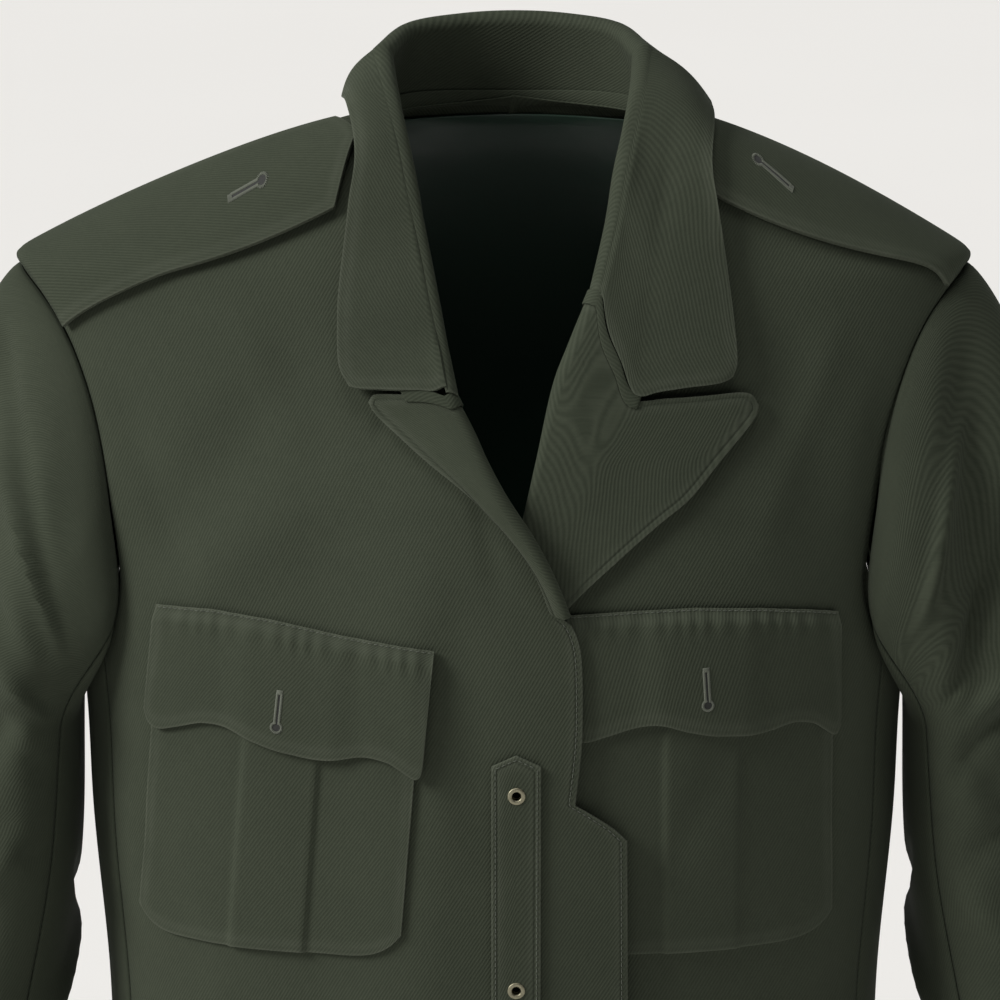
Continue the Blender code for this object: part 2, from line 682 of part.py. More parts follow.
# Epaulettes, in plan: distance from the middle, front edge y and back edge y
EPAULETTE = np.array((
    (0.060, -0.0500, -0.0150),
    (0.075, -0.0510, -0.0125),
    (0.090, -0.0520, -0.0090),
    (0.110, -0.0532, -0.0070),
    (0.141, -0.0538, -0.0060),
    (0.172, -0.0500, -0.0010),
    (0.204, -0.0395, 0.0085),
    (0.228, -0.0310, 0.0145),
))
EPAULETTE_BACKSET = {RIGHT: 0.0, LEFT: 0.009}
EPAULETTE_TIP = {RIGHT: -0.063, LEFT: 0.086}
EPAULETTE_POINT = 0.011
EPAULETTE_ROWS = 11
EPAULETTE_COLUMNS = 6
EPAULETTE_INSET = 0.0022
EPAULETTE_GAP = 0.0019


def top_point(x, y, lift):
    """A point over the shoulder, from its place in plan."""
    low = np.full(np.broadcast(x, y).shape, -0.2)
    high = np.full(low.shape, 0.02)
    for _ in range(40):
        z = (low + high) / 2
        power = down_table(z, SQUARENESS, 1)
        depth = np.where(y < 0, down_table(z, BODY, 2), down_table(z, BODY, 3))
        reach = (np.abs(x - middle(z)) / half_width(z)) ** power + (np.abs(y) / depth) ** power
        high = np.where(reach > 1, z, high)
        low = np.where(reach > 1, low, z)
    power = down_table(z, SQUARENESS, 1)
    depth = np.where(y < 0, down_table(z, BODY, 2), down_table(z, BODY, 3))
    part = np.arccos(np.clip((np.abs(y) / depth) ** (power / 2), 0, 1))
    angle = np.where(y < 0, np.degrees(part), 180 - np.degrees(part)) * np.sign(x)
    return body_base(angle, z) + body_normal(angle, z) * np.asarray(lift)[..., None]


def sleeve_seam_x(y):
    """Distance from the middle to the sleeve seam, over the top of the shoulder."""
    turns = np.concatenate([np.arange(290, 360, 2.0), np.arange(0, 70, 2.0)])
    seam_points = on_body(armhole(turns))
    order = np.argsort(seam_points[:, 1])
    return np.interp(y, seam_points[order, 1], seam_points[order, 0])


def epaulettes(look, collection):
    for side, name in SIDE_NAMES.items():
        part = np.linspace(0, 1, EPAULETTE_ROWS + 1)[:, None]
        across = np.linspace(-1, 1, EPAULETTE_COLUMNS + 1)[None, :]
        tip_x = np.abs(EPAULETTE_TIP[side]) + EPAULETTE_POINT * np.abs(across)
        x = EPAULETTE[-1, 0] + (tip_x - EPAULETTE[-1, 0]) * part
        for _ in range(3):
            ahead = np.interp(x, EPAULETTE[:, 0], EPAULETTE[:, 1])
            behind = np.interp(x, EPAULETTE[:, 0], EPAULETTE[:, 2])
            y = (ahead + behind) / 2 + (behind - ahead) / 2 * across + EPAULETTE_BACKSET[side]
            end_x = sleeve_seam_x(y[0]) - EPAULETTE_INSET
            x = end_x[None, :] + (tip_x - end_x[None, :]) * part
        x = x * side
        face = top_point(x, y, EPAULETTE_GAP + EPAULETTE_CLOTH + 0 * x)
        back = top_point(x, y, EPAULETTE_GAP + 0 * x)
        wall("epaulette_" + name, face, back, look, collection)


# Sleeve rings: height, centre x, centre y, half width, half depth, inward lean of the front
SLEEVE = np.array((
    (-0.290, 0.2465, 0.000, 0.0450, 0.0740, 0.018),
    (-0.360, 0.2485, 0.000, 0.0450, 0.0700, 0.012),
    (-0.430, 0.2560, -0.002, 0.0440, 0.0660, 0.005),
    (-0.520, 0.2690, -0.015, 0.0420, 0.0610, 0.000),
    (-0.600, 0.2800, -0.029, 0.0400, 0.0570, 0.000),
    (-0.680, 0.2900, -0.045, 0.0385, 0.0535, 0.000),
))
# How the sleeve leaves the armhole: turn, outward, forward, downward
SLEEVE_HEAD = np.array((
    (0, 0.090, 0.000, 0.060),
    (45, 0.085, 0.030, 0.055),
    (90, 0.030, 0.062, 0.045),
    (130, -0.012, 0.060, 0.030),
    (180, 0.006, 0.000, 0.014),
    (230, -0.004, -0.045, 0.030),
    (270, 0.035, -0.055, 0.045),
    (315, 0.085, -0.030, 0.055),
    (360, 0.090, 0.000, 0.060),
))
SLEEVE_SEAM_FRONT = 125.0
SLEEVE_SEAM_BACK = 280.0
SLEEVE_SEAM_HALF_GAP = 0.34
SLEEVE_START = 0.0005
HEAD_ROWS = 6
TUBE_ROWS = 9
UPPER_COLUMNS = 12
UNDER_COLUMNS = 8
SLEEVE_GIRTH = 0.062
# Sleeve creases: turn, distance down at start, turn, distance down at end, half width, depth
SLEEVE_FOLDS = {
    RIGHT: (
        (20, 0.030, 60, 0.190, 0.012, -0.0050),
        (62, 0.060, 95, 0.230, 0.013, 0.0042),
        (95, 0.190, 25, 0.300, 0.011, -0.0045),
        (100, 0.270, 40, 0.330, 0.010, 0.0042),
        (40, 0.360, 110, 0.400, 0.012, -0.0050),
        (200, 0.330, 140, 0.380, 0.012, 0.0045),
        (300, 0.060, 275, 0.230, 0.014, -0.0045),
        (250, 0.330, 310, 0.390, 0.012, 0.0045),
        (60, 0.480, 115, 0.530, 0.012, -0.0038),
    ),
    LEFT: (
        (38, 0.035, 84, 0.185, 0.011, -0.0062),
        (20, 0.060, 62, 0.200, 0.012, 0.0050),
        (92, 0.230, 30, 0.290, 0.011, -0.0045),
        (105, 0.300, 50, 0.350, 0.011, 0.0045),
        (45, 0.390, 110, 0.420, 0.012, -0.0048),
        (210, 0.320, 150, 0.370, 0.012, 0.0045),
        (290, 0.070, 270, 0.240, 0.014, -0.0045),
        (255, 0.340, 305, 0.400, 0.012, 0.0042),
        (55, 0.470, 110, 0.520, 0.012, -0.0038),
    ),
}


def sleeve_ring(turn, z):
    round_turn = np.radians(turn)
    x = down_table(z, SLEEVE, 1) + down_table(z, SLEEVE, 3) * np.cos(round_turn)
    x = x - down_table(z, SLEEVE, 5) * np.clip(np.sin(round_turn), 0, 1) ** 1.5
    y = down_table(z, SLEEVE, 2) - down_table(z, SLEEVE, 4) * np.sin(round_turn)
    return np.stack([x, y, z + 0 * x], axis=-1)


def sleeve_base(turn, part):
    """The left sleeve's plain form. Part 0 is the armhole, 1 the top ring and 2 the cuff."""
    turn, part = np.broadcast_arrays(np.asarray(turn, float), np.asarray(part, float))
    angle, z = armhole(turn.ravel() % 360).T
    start = body_base(angle, z).reshape(*turn.shape, 3)
    head = SLEEVE_HEAD
    wrapped = turn % 360
    out = np.interp(wrapped, head[:, 0], head[:, 1])
    forward = np.interp(wrapped, head[:, 0], head[:, 2])
    down = np.interp(wrapped, head[:, 0], head[:, 3])
    leave = np.stack([out, -forward, -down], axis=-1)
    start = start + leave / np.linalg.norm(leave, axis=-1, keepdims=True) * SLEEVE_START
    start[..., 0] += SLEEVE_START
    top_z = SLEEVE[0, 0]
    end = sleeve_ring(turn, np.full(turn.shape, top_z))
    below = sleeve_ring(turn, np.full(turn.shape, top_z - 0.02))
    arrive = (below - end) / 0.02 * np.linalg.norm(end - start, axis=-1, keepdims=True)
    head_part = np.clip(part, 0, 1)[..., None]
    square = head_part**2
    cube = head_part**3
    curve = start * (2 * cube - 3 * square + 1) + end * (3 * square - 2 * cube)
    curve = curve + leave * (cube - 2 * square + head_part) + arrive * (cube - square)
    tube = sleeve_ring(turn, top_z + (SLEEVE[-1, 0] - top_z) * np.clip(part - 1, 0, 1))
    return np.where(part[..., None] < 1, curve, tube)


def sleeve_normal(turn, part):
    step = 0.02
    at = np.clip(part, step, 2 - step)
    round_arm = sleeve_base(turn + 1, at) - sleeve_base(turn - 1, at)
    down = sleeve_base(turn, at + step) - sleeve_base(turn, at - step)
    out = np.cross(round_arm, down)
    return out / np.linalg.norm(out, axis=-1, keepdims=True)


def sleeve_lift(side, turn, part):
    head_length = SLEEVE[0, 0] + SHOULDER_DROP
    tube_length = SLEEVE[-1, 0] - SLEEVE[0, 0]
    down = -head_length * np.clip(part, 0, 1) - tube_length * np.clip(part - 1, 0, 1)
    table = [
        (np.radians(t1) * SLEEVE_GIRTH, d1, np.radians(t2) * SLEEVE_GIRTH, d2, width, depth)
        for t1, d1, t2, d2, width, depth in SLEEVE_FOLDS[side]
    ]
    around = np.radians(turn % 360) * SLEEVE_GIRTH
    return folds(around, down, table) * ease(0.04, 0.25, part) * ease(2, 1.8, part)


def sleeves(look, collection):
    """Two-piece sleeves, hanging just clear of the body."""
    pieces = (
        ("upper_sleeve_", SLEEVE_SEAM_BACK - 360, SLEEVE_SEAM_FRONT, UPPER_COLUMNS),
        ("under_sleeve_", SLEEVE_SEAM_FRONT, SLEEVE_SEAM_BACK, UNDER_COLUMNS),
    )
    parts = joined(np.linspace(0, 1, HEAD_ROWS + 1), np.linspace(1, 2, TUBE_ROWS + 1))
    for side, name in SIDE_NAMES.items():
        for title, first, last, columns in pieces:
            turns = np.linspace(first + SLEEVE_SEAM_HALF_GAP, last - SLEEVE_SEAM_HALF_GAP, columns + 1)
            turn, part = np.meshgrid(turns, parts)
            out = sleeve_normal(turn, part)
            face = sleeve_base(turn, part) + out * sleeve_lift(side, turn, part)[..., None]
            back = face - out * CLOTH
            mirror = (side, 1, 1)
            wall(title + name, face * mirror, back * mirror, look, collection)


# Collar: the crest of its fold and its outer edge, from each gorge to beside the neck
COLLAR_CREST = {
    RIGHT: ((-0.0182, -0.0950, -0.1208), (-0.0228, -0.0840, -0.1000), (-0.0285, -0.0740, -0.0720),
            (-0.0335, -0.0630, -0.0480), (-0.0390, -0.0520, -0.0200), (-0.0465, -0.0280, 0.0100),
            (-0.0520, 0.0040, 0.0300)),
    LEFT: ((0.0468, -0.0755, -0.0755), (0.0545, -0.0620, -0.0450), (0.0590, -0.0500, -0.0200),
           (0.0665, -0.0250, 0.0100), (0.0700, 0.0040, 0.0300)),
}
COLLAR_EDGE = {
    RIGHT: ((-0.0660, -0.0915, -0.1195), (-0.0710, -0.0865, -0.1100), (-0.0720, -0.0790, -0.0900),
            (-0.0710, -0.0720, -0.0710), (-0.0675, -0.0600, -0.0365), (-0.0645, -0.0490, -0.0120),
            (-0.0680, -0.0230, 0.0060), (-0.0710, 0.0040, 0.0070)),
    LEFT: ((0.1100, -0.0845, -0.1150), (0.1125, -0.0820, -0.1080), (0.1110, -0.0740, -0.0880),
           (0.1080, -0.0640, -0.0620), (0.1050, -0.0530, -0.0360), (0.1030, -0.0420, -0.0160),
           (0.1040, -0.0200, -0.0010), (0.1030, 0.0040, 0.0040)),
}
CREST_BEHIND = ((-0.0520, 0.0040, 0.0300), (-0.0400, 0.0360, 0.0370), (-0.0150, 0.0500, 0.0400),
                (0.0100, 0.0530, 0.0410), (0.0350, 0.0500, 0.0400), (0.0590, 0.0360, 0.0370),
                (0.0700, 0.0040, 0.0300))
EDGE_BEHIND = ((-0.0710, 0.0040, 0.0070), (-0.0600, 0.0470, 0.0010), (-0.0300, 0.0680, -0.0060),
               (0.0100, 0.0750, -0.0080), (0.0500, 0.0680, -0.0060), (0.0840, 0.0470, 0.0000),
               (0.1030, 0.0040, 0.0040))
# The leaf's front end, as x and z on the front: the gorge seam, then the collar's point
COLLAR_END = {
    RIGHT: ((-0.0275, -0.1208), (-0.0340, -0.1205), (-0.0410, -0.1204), (-0.0480, -0.1202),
            (-0.0550, -0.1199), (-0.0620, -0.1196), (-0.0665, -0.1185)),
    LEFT: ((0.0530, -0.0940), (0.0592, -0.1085), (0.0655, -0.1225), (0.0770, -0.1212),
           (0.0900, -0.1195), (0.1040, -0.1180), (0.1105, -0.1150)),
}
COLLAR_RADIUS = 0.0034
COLLAR_END_LIFT = (0.0088, 0.0052)
COLLAR_FRONT_STATIONS = NECK_ROWS
COLLAR_BACK_STATIONS = 2 * BACK_NECK_ROWS
STAND_STEPS = 2
LEAF_STEPS = 7
LEAF_BULGE = 0.0030
GORGE_GAP = 0.0018
COLLAR_FOOT_GAP = 0.0020


def collar_neckline():
    """Points on the fronts' and backs' neck edges, from the right gorge round to the left one."""
    fronts_part = {}
    for side in SIDE_NAMES:
        base, _, _ = roll_base(side, roll_radii(side))
        gorge = as_angles(base)[0] + (0, GORGE_GAP)
        neck = spaced((*NECKLINE[side], tuple(gorge)), COLLAR_FRONT_STATIONS, on_body)
        fronts_part[side] = neck
    behind_angles = np.linspace(90, 270, COLLAR_BACK_STATIONS + 1)
    behind = np.column_stack([-behind_angles, 0 * behind_angles])
    left = fronts_part[LEFT] - (360, 0)
    path = joined(fronts_part[RIGHT][::-1], behind, left)
    return off_body(path[:, 0], path[:, 1], np.full(len(path), COLLAR_FOOT_GAP))


def collar_line(front_tables, behind):
    """A collar line from the right gorge round the neck to the left gorge."""
    def same(points):
        return points
    right = spaced(front_tables[RIGHT], COLLAR_FRONT_STATIONS, same)
    left = spaced(front_tables[LEFT], COLLAR_FRONT_STATIONS, same)
    back = spaced(behind, COLLAR_BACK_STATIONS, same)
    return joined(right, back, left[::-1])


def unit(vector):
    return vector / np.linalg.norm(vector, axis=-1, keepdims=True)


def collar(look, collection):
    """One piece that stands round the neck, folds over and falls as a leaf with two points."""
    neck = collar_neckline()
    crest = collar_line(COLLAR_CREST, CREST_BEHIND)
    edge = collar_line(COLLAR_EDGE, EDGE_BEHIND)
    into_fold = unit((neck + edge) / 2 - crest)
    stand = neck - crest
    aside = stand - (stand * into_fold).sum(axis=1, keepdims=True) * into_fold
    outward = -unit(aside)
    centre = crest + COLLAR_RADIUS * into_fold
    sections = []
    last = len(neck) - 1
    for station in range(last + 1):
        foot = centre[station] - COLLAR_RADIUS * outward[station]
        rows = [neck[station] + (foot - neck[station]) * part
                for part in np.linspace(0, 1, STAND_STEPS + 1)[:-1]]
        for turn in np.linspace(0, np.pi, CURL_STEPS + 1)[:-1]:
            swing = -outward[station] * np.cos(turn) - into_fold[station] * np.sin(turn)
            rows.append(centre[station] + COLLAR_RADIUS * swing)
        start = centre[station] + COLLAR_RADIUS * outward[station]
        part = np.linspace(0, 1, LEAF_STEPS + 1)[:, None]
        from_end = min(station, last - station) / COLLAR_FRONT_STATIONS
        blend = float(ease(0.85, 0, from_end))
        leaf = start + (edge[station] - start) * part
        leaf = leaf + LEAF_BULGE * np.sin(np.pi * part) * outward[station] * (1 - blend)
        if blend > 0:
            side, end = (RIGHT, 0) if station < last / 2 else (LEFT, last)
            end_start = centre[end] + COLLAR_RADIUS * outward[end]
            straight = end_start + (edge[end] - end_start) * part
            path = np.array(((end_start[0], end_start[2]), *COLLAR_END[side]))
            lifts = np.linspace(*COLLAR_END_LIFT, LEAF_STEPS + 1)
            bent = front_point(side, path[:, 0], path[:, 1], lifts)
            bent[0] = end_start
            leaf = leaf + (bent - straight) * blend
        sections.append(np.concatenate([np.array(rows), leaf]))
    face = np.array(sections)
    thick = np.full(face.shape[1], COLLAR_CLOTH)
    thick[:STAND_STEPS] = np.linspace(COLLAR_FOOT_CLOTH, COLLAR_CLOTH, STAND_STEPS + 1)[:-1]
    back = face - normals(face) * thick[None, :, None]
    wall("collar", face, back, look, collection)


def main():
    for old in list(bpy.data.objects):
        bpy.data.objects.remove(old)
    coat = bpy.data.collections.new("Military coat")
    cutters = bpy.data.collections.new("Cutters")
    for made in (coat, cutters):
        bpy.context.scene.collection.children.link(made)
    cloth = material("green wool twill", (0.040, 0.049, 0.032), 0.88)
    satin = material("dark green satin", (0.006, 0.020, 0.012), 0.42)
    brass = material("aged brass", (0.23, 0.21, 0.14), 0.42, 0.9)
    fronts(cloth, coat)
    side_panels(cloth, coat)
    backs(cloth, coat)
    lining(satin, coat)
    sleeves(cloth, coat)
    collar(cloth, coat)
    lapels(cloth, coat)
    epaulettes(cloth, coat)
    pockets(cloth, coat)
    flaps(cloth, coat)
    strip = eyelet_strip(cloth, coat)
    pierced = (strip, bpy.data.objects["front_right"])
    eyelets(brass, cloth, pierced, coat, cutters)


main()
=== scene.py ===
"""Looks of a military service coat: fine cloth shells over the frame's solids, in green wool twill.

Each shell repeats its solid's form from the same named sizes, with more rows and columns, finer
creases, stitching, keyhole buttonholes and rolled eyelets. Metres, +Z up, front facing -Y.
"""

import bpy
import numpy as np
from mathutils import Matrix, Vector


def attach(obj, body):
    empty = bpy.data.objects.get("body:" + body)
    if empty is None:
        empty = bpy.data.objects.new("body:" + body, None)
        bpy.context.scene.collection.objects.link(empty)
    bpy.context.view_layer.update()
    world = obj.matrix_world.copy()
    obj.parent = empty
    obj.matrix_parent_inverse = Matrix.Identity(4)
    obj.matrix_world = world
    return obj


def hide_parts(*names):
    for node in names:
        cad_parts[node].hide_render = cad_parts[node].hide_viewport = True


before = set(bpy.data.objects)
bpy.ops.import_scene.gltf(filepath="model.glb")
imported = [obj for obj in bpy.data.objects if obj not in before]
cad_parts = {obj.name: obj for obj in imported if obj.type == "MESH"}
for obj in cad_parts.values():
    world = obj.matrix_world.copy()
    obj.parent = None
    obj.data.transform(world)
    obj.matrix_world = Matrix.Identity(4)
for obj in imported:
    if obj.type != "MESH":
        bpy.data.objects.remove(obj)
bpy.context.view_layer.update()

RIGHT = -1
LEFT = 1
SIDE_NAMES = {RIGHT: "right", LEFT: "left"}

# Each coarse row or column of the solids is split into this many, and each step of a roll
FINE = 7
ROLL_FINE = 3

# Cloth thicknesses and the gaps between pieces
CLOTH = 0.0016
POCKET_CLOTH = 0.0014
COLLAR_CLOTH = 0.0022
COLLAR_FOOT_CLOTH = 0.0012
EPAULETTE_CLOTH = 0.0030
LINING_CLOTH = 0.0010
SEAM_GAP = 0.0003
LAID_GAP = 0.0007
SEAM_ANGLE = 0.16
SHOULDER_SEAM_ANGLE = 0.25

# Shoulders: the ridge falls from beside the neck to the sleeve head
NECK_HALF = 0.066
NECK_SHIFT = 0.010
SHOULDER_X = 0.2305
SHOULDER_ROUNDING = 0.0025
SHOULDER_DROP = 0.0715
RIDGE_CURVE = 1.35
HEM_Z = -0.76

# The body's sections: height, half width, front depth, back depth
BODY = np.array((
    (0.030, 0.066, 0.044, 0.050),
    (0.000, 0.066, 0.046, 0.057),
    (-0.030, 0.150, 0.054, 0.074),
    (-0.0715, 0.229, 0.070, 0.093),
    (-0.120, 0.231, 0.089, 0.109),
    (-0.173, 0.221, 0.106, 0.119),
    (-0.224, 0.207, 0.116, 0.122),
    (-0.275, 0.200, 0.120, 0.118),
    (-0.340, 0.197, 0.118, 0.106),
    (-0.430, 0.190, 0.111, 0.094),
    (-0.520, 0.190, 0.112, 0.101),
    (-0.620, 0.200, 0.121, 0.118),
    (-0.760, 0.211, 0.128, 0.127),
))
# How square a section is: height, exponent of its superellipse
SQUARENESS = np.array(((0.0, 2.0), (-0.0715, 2.05), (-0.2, 2.3), (-0.76, 2.4)))

# The armhole is an oval in side view
ARMHOLE_Z = -0.173
ARMHOLE_RISE = -SHOULDER_DROP - ARMHOLE_Z
ARMHOLE_FRONT = 0.070
ARMHOLE_FRONT_TURN = 112.0
ARMHOLE_BACK = 0.076
FRONT_SEAM_TURN = 140.0
BACK_SEAM_TURN = 220.0
FRONT_SEAM_HEM = 68.0
BACK_SEAM_HEM = 112.0


def hermite(at, knots, values, slopes):
    """Cubic curve through the values at rising knots, with the given slopes."""
    at = np.clip(at, knots[0], knots[-1])
    span = np.clip(np.searchsorted(knots, at) - 1, 0, len(knots) - 2)
    length = knots[span + 1] - knots[span]
    part = (at - knots[span]) / length
    if values.ndim > 1:
        length = length[..., None]
        part = part[..., None]
    start = values[span] * (2 * part**3 - 3 * part**2 + 1)
    end = values[span + 1] * (3 * part**2 - 2 * part**3)
    rise = slopes[span] * (part**3 - 2 * part**2 + part)
    fall = slopes[span + 1] * (part**3 - part**2)
    return start + end + length * (rise + fall)


def down_table(z, table, column):
    """A column of a table whose first column is a falling height, read at height z."""
    knots = table[::-1, 0]
    values = table[::-1, column]
    return hermite(np.asarray(z, float), knots, values, np.gradient(values, knots))


def ease(start, end, value):
    """Rises smoothly from 0 at start to 1 at end."""
    part = np.clip((np.asarray(value, float) - start) / (end - start), 0, 1)
    return part * part * (3 - 2 * part)


def half_width(z):
    """Half the body's width. Above the sleeve heads it follows the shoulder ridge."""
    z = np.asarray(z, float)
    low = down_table(np.minimum(z, -SHOULDER_DROP), BODY[3:], 1)
    fallen = np.clip(-z / SHOULDER_DROP, 0, 4)
    ridge = NECK_HALF + (SHOULDER_X - NECK_HALF) * fallen ** (1 / RIDGE_CURVE)
    apart = (ridge - low) / SHOULDER_ROUNDING
    return low + (ridge - low) - SHOULDER_ROUNDING * np.logaddexp(0, apart)


def middle(z):
    """The neck sits a little towards the wearer's left."""
    return NECK_SHIFT * np.clip(1 + np.asarray(z, float) / SHOULDER_DROP, 0, 1)


def body_base(angle, z):
    """A point of the body. Angle 0 is the centre front, 90 the left side, 180 the centre back."""
    power = 2 / down_table(z, SQUARENESS, 1)
    turn = np.radians(angle)
    across = np.sign(np.sin(turn)) * np.abs(np.sin(turn)) ** power
    along = np.abs(np.cos(turn)) ** power
    depth = np.where(np.cos(turn) > 0, -down_table(z, BODY, 2), down_table(z, BODY, 3))
    return np.stack([middle(z) + half_width(z) * across, depth * along, z + 0 * across], axis=-1)


def body_normal(angle, z):
    """Unit vector pointing out of the body."""
    step = 0.4
    rise = 0.0012
    round_body = body_base(angle + step, z) - body_base(angle - step, z)
    upward = body_base(angle, z + rise) - body_base(angle, z - rise)
    out = np.cross(round_body, upward)
    return out / np.linalg.norm(out, axis=-1, keepdims=True)


def angle_at(x, z):
    """The body angle of a place on the front."""
    across = (np.asarray(x, float) - middle(z)) / half_width(z)
    across = np.clip(across, -1, 1)
    turn = np.arcsin(np.abs(across) ** (down_table(z, SQUARENESS, 1) / 2))
    return np.degrees(np.sign(across) * turn)


# Soft folds of each front: start x, start z, end x, end z, half width, depth
DRAPES = {
    RIGHT: (
        (-0.088, -0.105, -0.168, -0.205, 0.020, -0.0022),
        (-0.060, -0.150, -0.150, -0.215, 0.017, 0.0016),
        (-0.020, -0.215, -0.012, -0.300, 0.014, -0.0018),
        (-0.060, -0.440, -0.105, -0.720, 0.022, 0.0030),
        (-0.130, -0.470, -0.150, -0.740, 0.020, -0.0028),
    ),
    LEFT: (
        (0.124, -0.080, 0.160, -0.190, 0.018, -0.0020),
        (0.070, -0.160, 0.140, -0.210, 0.016, 0.0012),
        (0.070, -0.450, 0.110, -0.720, 0.024, 0.0032),
        (0.135, -0.430, 0.158, -0.740, 0.018, -0.0026),
    ),
}
BACK_DRAPES = (
    (-0.050, -0.120, -0.125, -0.240, 0.022, -0.0024),
    (0.060, -0.110, 0.130, -0.230, 0.020, -0.0022),
    (-0.075, -0.440, -0.110, -0.730, 0.022, 0.0034),
    (0.065, -0.450, 0.120, -0.730, 0.024, 0.0030),
)
# Body angles between which the folds fade out towards the sides
FRONT_FOLDS_FADE = (72, 55)
BACK_FOLDS_FADE = (108, 125)
# The right front laps over the left one
LAP_LIFT = 0.0085
LAP_START = -0.090
LAP_END = -0.022
LAP_TOP = -0.125
LAP_FULL = -0.175

# Finer creases of each front: start x, start z, end x, end z, half width, depth
FINE_DRAPES = {
    RIGHT: (
        (-0.007, -0.168, 0.002, -0.209, 0.0040, -0.0011),
        (-0.051, -0.130, -0.054, -0.140, 0.0035, -0.0007),
        (-0.178, -0.120, -0.148, -0.205, 0.0090, -0.0015),
        (-0.190, -0.150, -0.176, -0.260, 0.0080, 0.0012),
        (-0.120, -0.090, -0.090, -0.150, 0.0100, 0.0010),
        (-0.040, -0.240, -0.018, -0.330, 0.0090, 0.0009),
        (-0.165, -0.330, -0.140, -0.400, 0.0090, -0.0012),
        (-0.020, -0.450, -0.055, -0.560, 0.0100, -0.0014),
        (0.020, -0.560, 0.010, -0.700, 0.0110, 0.0014),
        (-0.090, -0.600, -0.075, -0.730, 0.0090, -0.0012),
    ),
    LEFT: (
        (0.186, -0.130, 0.172, -0.240, 0.0080, -0.0018),
        (0.160, -0.100, 0.128, -0.185, 0.0095, 0.0013),
        (0.100, -0.180, 0.160, -0.200, 0.0070, -0.0008),
        (0.110, -0.285, 0.080, -0.350, 0.0090, -0.0010),
        (0.020, -0.290, 0.028, -0.370, 0.0080, 0.0010),
        (0.170, -0.330, 0.150, -0.420, 0.0090, 0.0013),
        (0.030, -0.470, 0.060, -0.600, 0.0100, -0.0013),
        (0.005, -0.560, -0.010, -0.700, 0.0110, 0.0014),
        (0.150, -0.600, 0.160, -0.740, 0.0090, -0.0013),
    ),
}
FINE_BACK_DRAPES = (
    (-0.170, -0.150, -0.120, -0.210, 0.0090, 0.0014),
    (0.165, -0.140, 0.110, -0.220, 0.0095, 0.0015),
    (-0.060, -0.400, -0.140, -0.370, 0.0090, -0.0014),
    (0.050, -0.420, 0.135, -0.395, 0.0100, -0.0015),
    (-0.030, -0.450, -0.100, -0.440, 0.0080, 0.0011),
    (-0.020, -0.500, -0.040, -0.700, 0.0110, -0.0014),
    (0.025, -0.520, 0.050, -0.720, 0.0100, -0.0013),
    (0.130, -0.560, 0.150, -0.740, 0.0090, 0.0014),
    (-0.135, -0.560, -0.150, -0.740, 0.0090, -0.0014),
)
# Finer sleeve creases: turn, distance down, turn, distance down, half width, depth
FINE_SLEEVE_FOLDS = {
    RIGHT: (
        (28, 0.050, 78, 0.100, 0.0064, -0.0041),
        (40, 0.085, 96, 0.128, 0.0057, 0.0036),
        (22, 0.118, 82, 0.158, 0.0063, -0.0042),
        (48, 0.150, 104, 0.196, 0.0053, 0.0036),
        (26, 0.176, 88, 0.214, 0.0064, -0.0045),
        (60, 0.210, 108, 0.236, 0.0048, -0.0031),
        (14, 0.226, 64, 0.262, 0.0061, 0.0037),
        (50, 0.250, 102, 0.286, 0.0055, 0.0034),
        (196, 0.110, 240, 0.170, 0.0074, -0.0037),
        (212, 0.230, 262, 0.268, 0.0074, 0.0037),
        (305, 0.120, 340, 0.200, 0.0074, -0.0037),
        (280, 0.300, 335, 0.336, 0.0064, 0.0041),
        (165, 0.300, 222, 0.340, 0.0064, -0.0037),
        (300, 0.390, 345, 0.430, 0.0074, -0.0041),
        (30, 0.420, 85, 0.450, 0.0064, 0.0037),
        (150, 0.450, 210, 0.500, 0.0083, -0.0034),
    ),
    LEFT: (
        (44, 0.060, 92, 0.110, 0.0059, 0.0034),
        (26, 0.100, 70, 0.150, 0.0064, -0.0040),
        (56, 0.132, 100, 0.182, 0.0055, -0.0036),
        (34, 0.166, 84, 0.200, 0.0061, 0.0040),
        (62, 0.200, 108, 0.240, 0.0055, -0.0036),
        (20, 0.214, 70, 0.252, 0.0064, 0.0037),
        (46, 0.250, 100, 0.280, 0.0057, -0.0034),
        (200, 0.120, 244, 0.176, 0.0074, -0.0037),
        (214, 0.220, 258, 0.262, 0.0074, 0.0040),
        (300, 0.130, 338, 0.206, 0.0074, -0.0040),
        (284, 0.310, 336, 0.344, 0.0064, 0.0037),
        (160, 0.290, 218, 0.330, 0.0064, -0.0036),
        (302, 0.400, 344, 0.436, 0.0074, -0.0040),
        (34, 0.430, 90, 0.460, 0.0064, 0.0040),
        (154, 0.440, 212, 0.490, 0.0083, -0.0034),
    ),
}
# Which way up the twill runs on each piece
FRONT_GRAIN = np.array((0.0, 0.44, 0.90))
BACK_GRAIN = np.array((0.0, -0.44, 0.90))
SLEEVE_GRAIN = np.array((0.0, 0.0, 1.0))
LAPEL_GRAIN = np.array((0.0, 0.20, 0.98))
EPAULETTE_GRAIN = np.array((-0.92, 0.0, 0.39))


def folds(x, z, table):
    """Height of the soft folds at a place: long ridges and troughs that fade at both ends."""
    total = np.zeros(np.broadcast(x, z).shape)
    for x1, z1, x2, z2, width, depth in table:
        run = np.hypot(x2 - x1, z2 - z1)
        along = ((x - x1) * (x2 - x1) + (z - z1) * (z2 - z1)) / run**2
        aside = ((x - x1) * (z2 - z1) - (z - z1) * (x2 - x1)) / run
        fade = ease(-0.25, 0.25, along) * ease(1.25, 0.75, along)
        total = total + depth * fade * np.exp(-((aside / width) ** 2))
    return total


